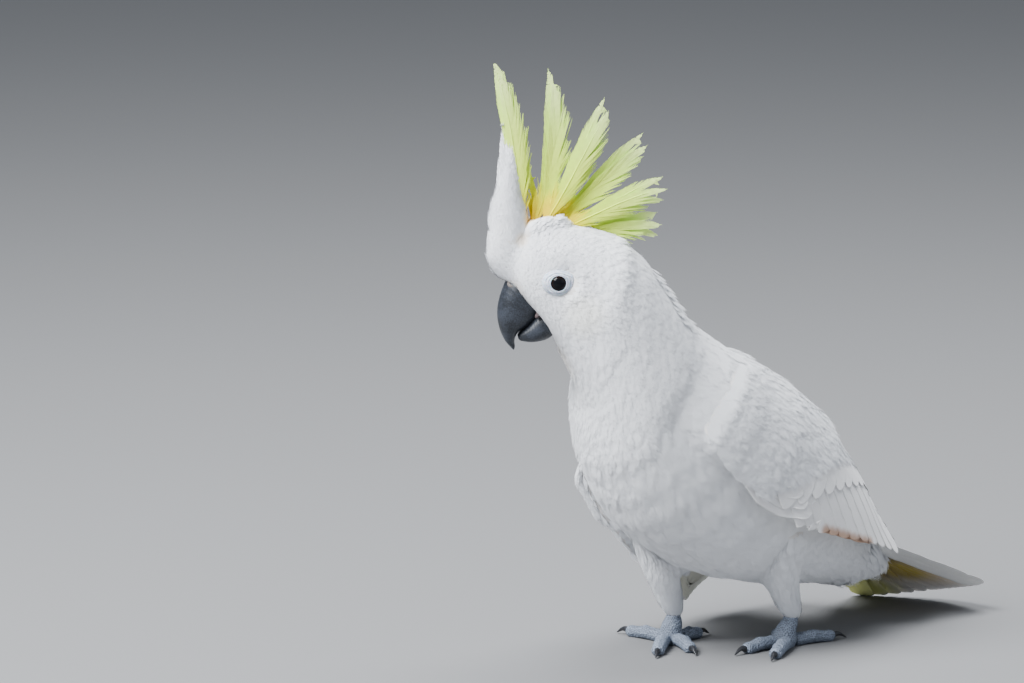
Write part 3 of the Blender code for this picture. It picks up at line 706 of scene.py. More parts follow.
# Borders between the coats, by the length of their feathers.
FACE_LONGEST, CROWN_LONGEST, NECK_LONGEST = 7.6, 11.0, 16.2
BACK_FACING = 0.25
TAIL_BARE = 143.0  # no small feathers grow further back, where the skin ends between the tail's feathers
on_trunk = on_head & (feather_length >= NECK_LONGEST) & (off_axis[:, 1] < TAIL_BARE)
underneath = on_trunk & (facing_up <= BACK_FACING)
BELLY_START = -100.0  # along the trunk's axis
FAR_BEND = -142.0  # in front of this the far wing's bend carries small feathers
THIGH_BARE = 0.5 * MM  # roots of the thighs' feathers keep this far above the feet
on_face = on_head & (feather_length < FACE_LONGEST)
on_crown = on_head & (feather_length >= FACE_LONGEST) & (feather_length < CROWN_LONGEST)
on_neck = on_head & (feather_length >= CROWN_LONGEST) & (feather_length < NECK_LONGEST)
on_thighs = (share_leg >= 0.5) & (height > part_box("leg_left")[0].z + THIGH_BARE)
on_wing = {side: share_of["wing_" + side] >= 0.5 for side in ("left", "right")}
# Each coat: where it grows, the room between its feathers, their lean in degrees and their kind.
COATS = (
    ("coat_face", on_face, 1.1, 7, fine_kinds),
    ("coat_crown", on_crown, 1.6, 6, fine_kinds),
    ("coat_neck", on_neck, 2.2, 4, broad_kinds),
    ("coat_back", on_trunk & (facing_up > BACK_FACING), 2.5, 5, broad_kinds),
    ("coat_breast", underneath & (along_axis < BELLY_START), 2.65, 4, broad_kinds),
    ("coat_belly", underneath & (along_axis >= BELLY_START), 2.65, 4, broad_kinds),
    ("coat_thighs", on_thighs, 1.5, 7, fine_kinds),
    ("coat_forehead", share_front >= 0.5, 1.2, 7, fine_kinds),
    ("coat_shoulder_left", on_wing["left"], 1.9, 6, broad_kinds),
    ("coat_shoulder_right", on_wing["right"] & (along_axis >= FAR_BEND), 2.6, 6, broad_kinds),
)
FIRST_SEED = 11
for number, (name, where, spacing, lean, kinds) in enumerate(COATS):
    grown_where = np.where(where, feathered, 0.0)
    grow_coat(name, grown_where, spacing, lean, kinds, white_feathers, seed=FIRST_SEED + number)

far_bend = np.where(on_wing["right"] & (along_axis < FAR_BEND), feathered, 0.0)
grow_coat("coat_bend_right", far_bend, 1.5, 4, fine_kinds, white_feathers, size=0.5, seed=41)

# Pointed hackles stand a little from the nape.
HACKLE_SPOTS, HACKLE_REACH = ((-60, 12, 0), (-66, 2, 0), (-71, -8, 0), (-77, -18, 0)), 9.0
pointed_kinds = feather_kinds("pointed_feather", 0.15, 0.03, 0.05)
hackles = [np.linalg.norm(skin_points - np.array(head_spot(*spot)), axis=1) for spot in HACKLE_SPOTS]
near = np.where(np.min(hackles, axis=0) < HACKLE_REACH * MM, 1.0, 0.0)
grow_coat("coat_hackles", near, 3.8, 17, pointed_kinds, white_feathers, size=0.95, seed=31)

# --- The wings' large feathers ------------------------------------------------------------------
# Each folded wing shows rows of stiff vanes: coverts over secondaries over the long primaries. A
# vane is a thin plate with a raised shaft, one edge lying on the next vane and the other under one.

# A folded wing follows an oval round the wings' axis. Each row: place along the axis, half width and
# height of the oval, upper and lower edge in degrees from the back.
WING_OVALS = {
    "left": (
        (-178, 47, 50, 62, 90),
        (-168, 64, 68, 44, 99),
        (-146, 67, 76, 28, 101),
        (-108, 69, 84, 14, 98),
        (-62, 68, 89.5, 7, 90),
        (-36, 66, 85, 6, 83),
        (-4, 63, 80, 6, 72),
        (28, 60, 71, 6, 57),
        (58, 58, 65, 6, 40),
    ),
    "right": (
        (-178, 47, 50, 68, 104),
        (-168, 64, 65, 54, 122),
        (-146, 67, 72, 42, 131),
        (-108, 69, 82, 34, 136),
        (-62, 68, 86, 26, 124),
        (-36, 66, 82, 22, 123),
        (4, 63, 78, 18, 134),
        (28, 60, 70, 16, 102),
        (52, 58, 66, 14, 62),
    ),
}
DROOP = {"left": 0.0, "right": 32.0}  # how far the lower edge hangs clear of the oval
WRIST_END, FULL_DROOP = -178.0, -135.0


def oval_at(side, along):
    """Half width, height, upper edge and lower edge of a wing's oval at places along the axis."""
    rows = np.array(WING_OVALS[side])
    return [np.interp(along, rows[:, 0], rows[:, k]) for k in range(1, 5)]


def wing_spots(side, along, degrees, lift):
    """Places on a folded wing, in metres, from millimetres along and above and degrees round."""
    half, rise, upper, lower = oval_at(side, along)
    share = np.clip((degrees - upper) / (lower - upper), 0.0, 1.1)
    ramp = np.clip((along - WRIST_END) / (FULL_DROOP - WRIST_END), 0.15, 1.0)
    wide = half + DROOP[side] * ramp * share ** 2
    angle = np.radians(degrees)
    left = (wide + lift) * np.sin(angle) * (1 if side == "left" else -1)
    across = WING_AXIS + (rise + lift) * np.cos(angle)
    way = along[:, None] * np.array(axis_back) + across[:, None] * np.array(axis_across)
    way[:, 0] += left
    return np.array(stance) + way * MM


VANE_LINES = np.array((-1.0, -0.88, -0.66, -0.40, -0.16, -0.05, 0.05, 0.16, 0.40, 0.66, 0.88, 1.0))
VANE_STEPS = 26
VANE_THICK, EDGE_THIN, SHAFT_RISE = 0.45, 0.1, 0.35
ROOT_WIDE = 0.6  # width at the root as a share of the whole


def vane(
    path, length, half_width, rise, tilt, seed, end=0.14, taper=0.32, nicks=3, cup=0.0, slant=0.0,
):
    """One closed plate. Path turns millimetres along, across and above the feather into places. Rise is
    its height at the root and the tip, tilt and cup its slope and hollow across, end the roundness of
    its tip, and slant how much shorter its free edge ends."""
    rng = np.random.default_rng(seed)
    steps = np.linspace(0.0, 1.0, VANE_STEPS)
    t, u = np.meshgrid(1 - (1 - steps) ** 1.3, VANE_LINES, indexing="ij")
    wide = half_width * (ROOT_WIDE + (1 - ROOT_WIDE) * step_up(t, 0.0, 0.3))
    wide *= 1 - taper * step_up(t, 0.6, 1.0)
    edge = 1.0 + 0.02 * rng.standard_normal(u.shape) * (np.abs(u) > 0.95)
    for _ in range(nicks):
        side, at, deep = rng.choice((-1, 1)), rng.uniform(0.35, 0.97), rng.uniform(0.06, 0.22)
        edge -= deep * np.exp(-(((t - at) / 0.018) ** 2)) * (u * side > 0.6)
    x = length * t * (1 - end * np.abs(u) ** 3 * t ** 3) - slant * np.maximum(u, 0.0) ** 2 * t ** 6
    y = wide * u * edge
    shaft = SHAFT_RISE * (1 - 0.75 * t) * (np.abs(u) < 0.08)
    lift = rise[0] + (rise[1] - rise[0]) * t + tilt * u - cup * u ** 2 + shaft
    thick = np.where(np.abs(u) < 0.5, VANE_THICK, EDGE_THIN) * (1 - 0.5 * t)
    flat = [values.ravel() for values in (x, y, lift, thick)]
    top = path(flat[0], flat[1], flat[2])
    bottom = path(flat[0], flat[1], flat[2] - flat[3])
    across, count = len(VANE_LINES), VANE_STEPS * len(VANE_LINES)
    upper = [
        (i * across + j, (i + 1) * across + j, (i + 1) * across + j + 1, i * across + j + 1)
        for i in range(VANE_STEPS - 1) for j in range(across - 1)
    ]
    lower = [tuple(count + k for k in reversed(face)) for face in upper]
    rim = [i * across for i in range(VANE_STEPS)]
    rim += [(VANE_STEPS - 1) * across + j for j in range(1, across)]
    rim += [i * across + across - 1 for i in range(VANE_STEPS - 2, -1, -1)]
    rim += list(range(across - 2, 0, -1))
    sides = [(b, a, a + count, b + count) for a, b in zip(rim, rim[1:] + rim[:1])]
    faces = upper + lower + sides
    one = upper[len(upper) // 2]
    facing = np.cross(top[one[1]] - top[one[0]], top[one[3]] - top[one[0]])
    if facing @ (top[one[0]] - bottom[one[0]]) < 0:
        faces = [face[::-1] for face in faces]
    return {
        "points": np.concatenate((top, bottom)),
        "faces": faces,
        "under": [0] * len(upper) + [1] * len(lower) + [0] * len(sides),
        "along": np.tile(t.ravel(), 2),
        "barb": np.tile((x + 0.9 * np.abs(y)).ravel(), 2),
    }


def joined_vanes(name, vanes, paints):
    """One piece of many vanes: the first paint on their upper faces, the second below."""
    shift, points, faces = 0, [], []
    for one in vanes:
        faces += [tuple(k + shift for k in face) for face in one["faces"]]
        points.append(one["points"])
        shift += len(one["points"])
    obj = add_mesh(name, np.concatenate(points), faces, paints[0])
    obj.data.materials.append(paints[1])
    obj.data.polygons.foreach_set("material_index", sum((one["under"] for one in vanes), []))
    for key in ("along", "barb"):
        write_values(obj.data, key, np.concatenate([one[key] for one in vanes]))
    return obj


FAN = 0.30  # degrees that a vane's shaft turns down in each millimetre along
WING_RADIUS = 66.0  # turns a place across a vane into degrees round the wing


def wing_vane(side, tip, length, half_width, rise, tilt, seed, fan=FAN, follow=None, **shape):
    """A vane on a folded wing, from its tip's place along and round. With follow it keeps that many
    degrees above the wing's lower edge."""
    tip_along, tip_degrees = tip
    fan *= min(1.0, tip_degrees / 50)

    def path(x, y, lift):
        along = tip_along - length + x
        if follow is None:
            middle = tip_degrees - fan * (length - x)
        else:
            middle = oval_at(side, along)[3] - follow
        return wing_spots(side, along, middle + np.degrees(y / WING_RADIUS), lift)

    return vane(path, length, half_width, rise, tilt, seed, **shape)


VANES_START = -88.0  # where the flight feathers come out of the wing
SECONDARIES, PRIMARIES, GREATER = 11, 6, 10
SECONDARY_LONGEST, SECONDARY_REACH, COVERT_LENGTH, PRIMARY_COVERT_START = 98.0, 142, 44.0, -118.0
PRIMARY_WIDE, SECONDARY_WIDE = 8.5, 14.0  # half widths
PRIMARY_STEP = 2.6  # degrees that each next primary lies higher
# For each wing: the first and last secondary's tip along its lower edge, the longest primary's tip
# and the step to the next, and the greater coverts' lowest and highest tip, each along and round.
SECONDARY_TIPS = {"left": (-54.0, 54.0), "right": (12.0, 49.0)}
PRIMARY_TIPS = {"left": (58.0, -6.0), "right": (20.0, -9.0)}
GREATER_TIPS = {"left": ((-76.0, 88.0), (14.0, 20.0)), "right": ((-66.0, 108.0), (6.0, 34.0))}
GREATER_WIDE = {"left": 11.5, "right": 13.0}
PRIMARY_HIGHER = {"left": 3.5, "right": 8.0}  # degrees from the lower edge to the longest primary
FIRST_VANE = {"left": 100, "right": 500}  # seeds of the vanes' nicks
# The primary coverts' tips: along, and degrees above the wing's lower edge.
PRIMARY_COVERTS = {
    "left": ((-56.0, 1.5), (-64.0, 5.0), (-73.0, 8.5), (-83.0, 12.0), (-94.0, 15.0)),
    "right": (),
}


def between(low, high, share):
    """The value at this share of the way from low to high."""
    return low + (high - low) * share


def wing_rows(side):
    """All the flight feathers and the coverts of one folded wing."""
    flight, coverts = [], []
    seed = FIRST_VANE[side]
    first, last = SECONDARY_TIPS[side]
    longest, step = PRIMARY_TIPS[side]
    for i in range(PRIMARIES):
        tip = longest + step * i
        flight.append(wing_vane(
            side, (tip, 60.0), tip - VANES_START, PRIMARY_WIDE, (-3.0 + 0.25 * i, -1.9 + 0.25 * i), 0.35,
            seed + i, follow=PRIMARY_HIGHER[side] + PRIMARY_STEP * i, end=0.10, taper=0.55,
        ))
    for i in range(SECONDARIES):
        along = between(first, last, i / (SECONDARIES - 1))
        degrees = oval_at(side, along)[3] - 1.0
        length = min(along - VANES_START, SECONDARY_LONGEST)
        start = between(-2.2, 0.2, 1 - length / SECONDARY_REACH)
        flight.append(wing_vane(
            side, (along, degrees), length, SECONDARY_WIDE, (start, 0.3), 0.5, seed + 20 + i,
            end=0.05, taper=0.06, nicks=1, slant=6.0,
        ))
    (low_along, low_degrees), (high_along, high_degrees) = GREATER_TIPS[side]
    for i in range(GREATER):
        share = i / (GREATER - 1)
        tip = (between(low_along, high_along, share), between(low_degrees, high_degrees, share))
        coverts.append(wing_vane(
            side, tip, COVERT_LENGTH, GREATER_WIDE[side], (-1.6, 0.8 - 0.5 * share), 0.3, seed + 40 + i,
            nicks=1, end=0.09, taper=0.08, slant=2.2,
        ))
    for i, (along, higher) in enumerate(PRIMARY_COVERTS[side]):
        coverts.append(wing_vane(
            side, (along, 90.0), along - PRIMARY_COVERT_START, PRIMARY_WIDE, (-2.6, 1.2 - 0.15 * i), 0.2,
            seed + 80 + i, follow=higher, end=0.16, taper=0.5, nicks=0,
        ))
    return flight, coverts


SCAPULAR_PLACES = (-66.0, -50.0, -34.0, -17.0, 0.0, 16.0, 31.0, 45.0, 57.0)
SCAPULAR_STEP = 9.0  # degrees between the three feathers at each place
SCAPULAR_LENGTH, SCAPULAR_WIDE, SCAPULAR_ABOVE, SCAPULAR_SEED = 42.0, 10.5, 13.0, 900


def scapulars(side):
    """The row of large soft feathers over the wing's upper edge, whose tips stand from the back."""
    made = []
    for i, along in enumerate(SCAPULAR_PLACES):
        degrees = float(oval_at(side, along)[2]) + SCAPULAR_ABOVE + 0.10 * max(along, 0.0)
        for k, shift in enumerate((-SCAPULAR_STEP, 0.0, SCAPULAR_STEP)):
            tip = (along - abs(shift) * 0.6, degrees + shift)
            made.append(wing_vane(
                side, tip, SCAPULAR_LENGTH, SCAPULAR_WIDE, (-3.2, 0.35 - 0.2 * k), 0.25,
                SCAPULAR_SEED + 10 * i + k, fan=0.08, end=0.16, nicks=0,
            ))
    return made


# Painted shade: brown-orange marks along the near wing's lower edge, where the primaries lie against the
# flank.
WING_SHADE_PLACES = (-36.0, -30.0, -24.0, -18.0, -12.0, -6.0, 0.0, 6.0, 12.0)
WING_SHADE_OUT, WING_SHADE_REACH, WING_SHADE_COLOUR, WING_SHADE_STRENGTH = 3.0, 7, (0.40, 0.17, 0.05), 0.75
WING_EDGE_SHADE = {}
for along in WING_SHADE_PLACES:
    middle = wing_spots("left", np.array([along]), oval_at("left", along)[3] + WING_SHADE_OUT, -1.0)[0]
    WING_EDGE_SHADE[along] = (Vector(middle), WING_SHADE_REACH, WING_SHADE_COLOUR, WING_SHADE_STRENGTH)
# Each: the tint at the root and at the tip, how mottled, the marks, and the room between the barbs.
# Both faces of the flight feathers carry the painted shade along the wing's lower edge.
FLIGHT_TOP = ((0.85, 0.84, 0.85), (0.89, 0.875, 0.87), 0.05, WING_EDGE_SHADE, 1.1)
FLIGHT_UNDER = ((0.90, 0.87, 0.62), (0.92, 0.91, 0.80), 0.06, WING_EDGE_SHADE, 1.1)
COVERT_TOP = ((0.87, 0.86, 0.87), (0.90, 0.89, 0.89), 0.04, {}, 0.9)
# The coverts' undersides are a little darker and warmer than their tops: a faint painted shade.
COVERT_UNDER_SHADED = ((0.84, 0.82, 0.80), (0.88, 0.87, 0.86), 0.06, {})
flight_top = plumage_material("flight_top", *FLIGHT_TOP)
flight_under = plumage_material("flight_under", *FLIGHT_UNDER)
covert_top = plumage_material("covert_top", *COVERT_TOP)
covert_under_shaded = plumage_material("covert_under_shaded", *COVERT_UNDER_SHADED)


def cover_net(name, rows, middles, lie_turn, length, way=None):
    """A hidden net to grow soft feathers from: rows of places, the middles they stand round, and how
    far the feathers turn from the wing's axis, or the way that they follow instead."""
    lines, steps = len(rows), len(rows[0])
    points = np.concatenate(rows)
    radial = unit(points - np.concatenate(middles))
    faces = [
        (k * steps + i, k * steps + i + 1, (k + 1) * steps + i + 1, (k + 1) * steps + i)
        for k in range(lines - 1) for i in range(steps - 1)
    ]
    one = faces[len(faces) // 2]
    facing = np.cross(points[one[1]] - points[one[0]], points[one[3]] - points[one[0]])
    if facing @ radial[one[0]] < 0:
        faces = [face[::-1] for face in faces]
    net = add_mesh(name, points, faces, covert_top)
    outward = read_values(net.data.vertices, "normal", 3)
    grid_v, grid_u = (axis.ravel() for axis in np.mgrid[0:1:lines * 1j, 0:1:steps * 1j])
    if way is None:
        way = np.array(axis_back) + lie_turn * np.cross(outward, np.array(axis_back))
    way = laid_flat(way, outward)
    for key, values in (
        ("lie", way), ("skin_up", outward), ("unwrap", np.stack([grid_u, grid_v, grid_v * 0], axis=1)),
        ("feather_length", np.full(len(points), length)),
    ):
        write_values(net.data, key, values)
    return net


COVER_LINES, COVER_STEPS, COVER_START, COVER_BACK = 44, 44, -158.0, 28.0
COVER_INSIDE = {"left": 2.0, "right": 8.0}  # degrees from the wing's lower edge to the net
COVER_ABOVE, COVER_BELOW = 12, 4  # degrees past the greater coverts' highest and lowest tip
COVER_LIFT, COVER_LENGTH = -0.9, 14.0
COVER_SUNK, SUNK_REACH = {"left": 2.0, "right": 4.0}, 74  # how much deeper it starts, and how far so
COVER_TURN = {"left": -0.32, "right": 0.32}
for side in ("left", "right"):
    flight, coverts = wing_rows(side)
    piece = joined_vanes("flight_vanes_" + side, flight, (flight_top, flight_under))
    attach(piece, "root")
    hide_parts("flight_feathers_" + side)
    piece = joined_vanes("wing_coverts_" + side, coverts + scapulars(side), (covert_top, covert_under_shaded))
    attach(piece, "root")
    # Small soft coverts grow over the roots of the great ones, from a net that is laid over the wing.
    (low_along, low_degrees), (high_along, high_degrees) = GREATER_TIPS[side]
    rows, middles = [], []
    top_degrees = high_degrees - COVER_ABOVE
    for share in np.arange(COVER_LINES) / (COVER_LINES - 1):
        degrees = between(low_degrees + COVER_BELOW, top_degrees, share)
        last = np.interp(degrees, (high_degrees, low_degrees), (high_along, low_along)) - COVER_BACK
        along = np.linspace(COVER_START, last, COVER_STEPS)
        lowest = oval_at(side, along)[3] - COVER_INSIDE[side]
        degrees = between(lowest, np.full(COVER_STEPS, top_degrees), share)
        sunk = COVER_SUNK[side] * (1 - step_up(along, COVER_START, COVER_START + SUNK_REACH))
        rows.append(wing_spots(side, along, degrees, COVER_LIFT - sunk))
        way = along[:, None] * np.array(axis_back) + WING_AXIS * np.array(axis_across)
        middles.append(np.array(stance) + way * MM)
    net = cover_net("covert_net", rows, middles, COVER_TURN[side], COVER_LENGTH)
    everywhere = np.ones(len(net.data.vertices))
    grow_coat("soft_coverts_" + side, everywhere, 2.2, 7, broad_kinds, white_feathers, seed=71, body=net)
    bpy.data.objects.remove(net)

# Small feathers wrap round the far wing's free edge, which hangs clear of the breast.
EDGE_START, EDGE_END, EDGE_STEPS, EDGE_ROUNDS = -158.0, -52.0, 60, 14
EDGE_CORE, EDGE_CORE_DEEP = 6.5, -3.2  # the fold's middle: degrees above the edge, and depth
EDGE_SUNK = 5.0  # and how much deeper it starts, at the shoulder
EDGE_REACH, EDGE_HALF = 7.0, 3.8  # half the fold's height in degrees, and half its thickness
EDGE_FULL, EDGE_THINS = 24, -80  # it is full so far from its start, and thins from there to its end
EDGE_LENGTH = 5.5
along = np.linspace(EDGE_START, EDGE_END, EDGE_STEPS)
lower = oval_at("right", along)[3]
core = wing_spots("right", along, lower - EDGE_CORE, EDGE_CORE_DEEP)
rows = []
for turn in np.radians(np.linspace(-70, 215, EDGE_ROUNDS)):
    whole = step_up(along, EDGE_START, EDGE_START + EDGE_FULL)
    thin = whole * (1 - 0.5 * step_up(along, EDGE_THINS, EDGE_END))
    rows.append(wing_spots(
        "right", along, lower - EDGE_CORE + EDGE_REACH * math.sin(turn) * (0.3 + 0.7 * whole),
        EDGE_CORE_DEEP - EDGE_SUNK * (1 - whole) + EDGE_HALF * math.cos(turn) * thin,
    ))
along_edge = np.tile(unit(np.gradient(core, axis=0)), (EDGE_ROUNDS, 1))
net = cover_net("edge_net", rows, [core] * EDGE_ROUNDS, 0.0, EDGE_LENGTH, along_edge)
edge_faces = [tuple(p.vertices) for p in net.data.polygons]
edge_body = add_mesh("wing_edge_right", read_values(net.data.vertices, "co", 3), edge_faces, covert_top)
write_values(edge_body.data, "along", np.full(len(net.data.vertices), 0.5))
everywhere = np.ones(len(net.data.vertices))
grow_coat("soft_edge_right", everywhere, 1.3, 2, fine_kinds, white_feathers, seed=83, body=net)
bpy.data.objects.remove(net)
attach(edge_body, "root")

# --- The tail -----------------------------------------------------------------------------------
# Twelve stiff feathers in a fan that is half shut. The middle pair lies on top and each outer one
# under its neighbour. They are white above and washed with yellow below, where brown, olive and tan
# are painted shade.

TAIL_ROOT = stance + Vector((0.0, 76.0, 82.5)) * MM
tail_back = Vector((-0.11, 0.875, -0.455)).normalized()
tail_rise = Vector((-0.29, 0.41, 0.865)).normalized()
tail_left = tail_back.cross(tail_rise).normalized()
tail_rise = tail_left.cross(tail_back)
TAIL_LENGTH, TAIL_START, TAIL_WIDE, TAIL_SEED = 168.0, 45.0, 10.5, 300
TAIL_FEATHERS, LEFT_FAN, RIGHT_FAN, OUTER_SHORTER = 12, math.radians(18.0), math.radians(23.0), 6.0
TAIL_DOME, TAIL_STEP = 2.6, 0.45  # how high the fan's middle stands, and a feather over the next
FAN_SHARE = 0.94  # of its half of the fan, how far the outermost feather's shaft turns


def tail_vane(number):
    """One tail feather, counted from the right, with its overlap turned away from the middle."""
    spread_share = 2 * (number + 0.5) / TAIL_FEATHERS - 1
    angle = (LEFT_FAN if spread_share > 0 else RIGHT_FAN) * spread_share * FAN_SHARE
    outward = 1.0 if spread_share > 0 else -1.0
    from_middle = abs(number - (TAIL_FEATHERS - 1) / 2)
    rise = TAIL_DOME * math.cos(math.pi * spread_share / 2) - TAIL_STEP * (from_middle - 2.5)
    way = tail_back * math.cos(angle) + tail_left * math.sin(angle)
    side = tail_left * math.cos(angle) - tail_back * math.sin(angle)

    def path(x, y, lift):
        spots = (TAIL_START + x)[:, None] * np.array(way) + (y * outward)[:, None] * np.array(side)
        return np.array(TAIL_ROOT) + (spots + lift[:, None] * np.array(tail_rise)) * MM

    length = TAIL_LENGTH - OUTER_SHORTER * abs(spread_share) - TAIL_START
    seed = TAIL_SEED + number
    return vane(path, length, TAIL_WIDE, (rise - 0.6, rise), 0.6, seed, end=0.07, taper=0.12, cup=0.7)


tail_top = plumage_material("tail_top", (0.86, 0.85, 0.83), (0.90, 0.89, 0.87), 0.05, {})


def tail_place(reach, degrees):
    """A place on the tail from its root, this far along and this many degrees to the bird's left."""
    angle = math.radians(degrees)
    return TAIL_ROOT + (tail_back * math.cos(angle) + tail_left * math.sin(angle)) * reach * MM


# The lime is the feathers' own yellow. The brown at the root, the olive and the tan are painted shade, and
# the gold is their yellow dulled by painted shade.
TAIL_WASHES_AND_SHADE = {
    "shade_base": (tail_place(100, -8), 46, (0.20, 0.11, 0.02), 0.85),
    "olive_shade_upper": (tail_place(92, 5), 38, (0.40, 0.29, 0.04), 0.75),
    "tan_shade_upper": (tail_place(134, 5), 30, (0.66, 0.46, 0.20), 0.45),
    "gold": (tail_place(120, 0), 30, (0.60, 0.44, 0.0), 0.90),
    "lime": (tail_place(150, -19), 34, (0.84, 0.87, 0.18), 0.88),
    "lime_base": (tail_place(120, -20), 26, (0.74, 0.78, 0.12), 0.85),
}
# The root's dark gold-brown is the yellow darkened by painted shade under the tail's coverts.
tail_under = plumage_material("tail_under", (0.60, 0.42, 0.12), (0.93, 0.88, 0.84), 0.06, TAIL_WASHES_AND_SHADE)
tail = joined_vanes("tail_fan", [tail_vane(k) for k in range(TAIL_FEATHERS)], (tail_top, tail_under))
faces_each = len(tail.data.polygons) // TAIL_FEATHERS
for face in tail.data.polygons[(TAIL_FEATHERS - 1) * faces_each:]:
    face.material_index = 0  # the left outermost feather is white on both faces
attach(tail, "root")
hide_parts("tail")

# --- The crest ----------------------------------------------------------------------------------
# Six stacks of long lemon feathers that bend forward at their tips. Each has a thin shaft and soft
# barbs: they close to a smooth edge in front and hang apart in loose points behind.

# Each stack: ahead and up of its root, of the bend between and of its tip, and half width.
CREST = (
    (35, 40, 34, 106, 55, 160, 8.2),
    (27, 40, 2, 97, 17, 152, 9.0),
    (20, 44, -11, 89, -21, 132.5, 8.8),
    (14, 41, -26, 77, -48, 107, 8.2),
    (10, 40, -37, 60, -61, 77.5, 8.0),
    (6, 36, -36, 40, -58, 52, 8.2),
)
CREST_SHIFT = 3.1  # the stacks stand by turns left and right of the middle plane
BLADE_SHARES = ((0.0, 0.25, 0.5, 0.75, 0.9, 1.0), (0.34, 0.68, 1.0, 0.88, 0.44, 0.03))
BARB_STEPS = np.array((0.0, 0.3, 0.62, 1.0))
BARB_WIDTHS = np.array((0.56, 0.72, 0.52, 0.05))
BARB_PITCH = 0.62
CLUMPS = 14  # points that the loose barbs gather into
SHAFT_AHEAD = 0.42  # how far before the blade's middle its shaft runs, as a share of half the width
SHAFT_SIDES, SHAFT_THICK = 5, 0.5
FRONT_SLANT, BACK_SLANT = (17, 22), (18, 30)  # degrees that the barbs lean out from the shaft
CLUMP_PULL = 0.6  # how far a loose barb's end moves to its clump


def ring_faces(rings, sides, first=0):
    """The faces of a tube whose points stand in rings one after another."""
    faces = []
    for k in range(rings - 1):
        for i in range(sides):
            a, b = first + k * sides + i, first + k * sides + (i + 1) % sides
            faces.append((a, b, b + sides, a + sides))
    return faces


def plume(row, shifts, seed, fray=(1.18, 0.70)):
    """Points, faces and shares along of one feather that stands in a plane beside the head's middle.
    Shifts are its root's and tip's distance to the left, fray how far its loose barbs reach."""
    rng = np.random.default_rng(seed)
    root, bend, tip = (np.array(row[i:i + 2], float) for i in (0, 2, 4))
    half = row[6]
    length = np.linalg.norm(bend - root) * 0.55 + np.linalg.norm(tip - bend) * 0.55

    def middle(t):
        t = np.asarray(t)[..., None]
        return root * (1 - t) ** 2 + 2 * bend * t * (1 - t) + tip * t * t

    def ahead_of(t):
        t = np.asarray(t)[..., None]
        way = (bend - root) * (1 - t) + (tip - bend) * t
        way = way / np.linalg.norm(way, axis=-1, keepdims=True)
        return np.stack((way[..., 1], -way[..., 0]), axis=-1)

    def reach_of(t):
        return half * np.interp(t, *BLADE_SHARES)

    def shaft_of(t):
        return middle(t) + ahead_of(t) * (reach_of(t) * SHAFT_AHEAD)[..., None]

    def shift_of(t):
        return shifts[0] + (shifts[1] - shifts[0]) * np.asarray(t)

    points, faces, along = [], [], []

    def add_strip(centre, wide, out, shares):
        """A strip in the blade's plane, from middles, half widths and distances to the left."""
        way = np.gradient(centre, axis=0)
        way /= np.maximum(np.linalg.norm(way, axis=1, keepdims=True), 1e-9)
        across = np.stack((way[:, 1], -way[:, 0]), axis=1)
        first = len(points)
        for k in range(len(centre)):
            for sign in (-1, 1):
                spot = centre[k] + across[k] * wide[k] * sign
                points.append((spot[0], spot[1], out[k]))
                along.append(shares[k])
        for k in range(len(centre) - 1):
            a = first + 2 * k
            faces.append((a, a + 1, a + 3, a + 2))

    count = int(length / BARB_PITCH)
    last = (tip - bend) / np.linalg.norm(tip - bend)
    wrap = math.copysign(1.6, shifts[0])
    for front in (True, False):
        side = 1 if front else -1
        clumps = np.sort(rng.uniform(0.1, 1.05, CLUMPS))
        for i in range(count):
            start = 0.05 + 0.93 * (i + rng.uniform()) / count
            slant = math.radians(rng.uniform(*(FRONT_SLANT if front else BACK_SLANT)))
            room = reach_of(min(start + 0.1, 1.0)) * (1 - SHAFT_AHEAD * side)
            end = start + room / math.tan(slant) / length * rng.uniform(0.95, 1.05)
            reach = side * rng.uniform(0.98, 1.01)
            if not front:
                near = clumps[np.argmin(np.abs(clumps - end))]
                away = min(abs(near - end) * CLUMPS * 1.6, 1.0)
                end += (near - end) * CLUMP_PULL
                reach = side * (fray[0] + (fray[1] - fray[0]) * away + rng.uniform(-0.06, 0.06))
            end = min(end, 1.0 + rng.uniform(-0.01, 0.03))
            t = start + (end - start) * BARB_STEPS
            held = np.clip(t, 0, 1)
            curve = BARB_STEPS ** (0.85 if front else 1.0)
            offset = SHAFT_AHEAD * reach_of(held) * (1 - curve) + curve * reach * reach_of(min(end, 1.0))
            centre = middle(held) + ahead_of(held) * offset[:, None]
            centre += (np.maximum(t - 1.0, 0.0) * length)[:, None] * last
            out = shift_of(held) - wrap * (offset / half) ** 2 + rng.uniform(-0.16, 0.16)
            add_strip(centre, BARB_WIDTHS * rng.uniform(0.85, 1.15), out, held)
    # The shaft is a thin tapering rod.
    t = np.linspace(0.0, 0.98, 24)
    centre, across = shaft_of(t), ahead_of(t)
    first = len(points)
    for k in range(len(t)):
        radius = SHAFT_THICK * (1 - 0.8 * t[k])
        for s in range(SHAFT_SIDES):
            angle = 2 * math.pi * s / SHAFT_SIDES
            spot = centre[k] + across[k] * radius * math.cos(angle)
            points.append((spot[0], spot[1], shift_of(t[k]) + radius * math.sin(angle)))
            along.append(t[k])
    faces += ring_faces(len(t), SHAFT_SIDES, first)
    return points, faces, along


def smooth_rows(rows, count):
    """Rows drawn through a table by an even curve."""
    rows = np.array(rows, float)
    made = []
    for t in np.linspace(0.0, len(rows) - 1.0, count):
        i = min(int(t), len(rows) - 2)
        f = t - i
        before, low, high, after = (rows[min(max(i + k, 0), len(rows) - 1)] for k in (-1, 0, 1, 2))
        made.append(0.5 * (
            2 * low + (high - before) * f + (2 * before - 5 * low + 4 * high - after) * f * f
            + (3 * low - before - 3 * high + after) * f ** 3
        ))
    return made


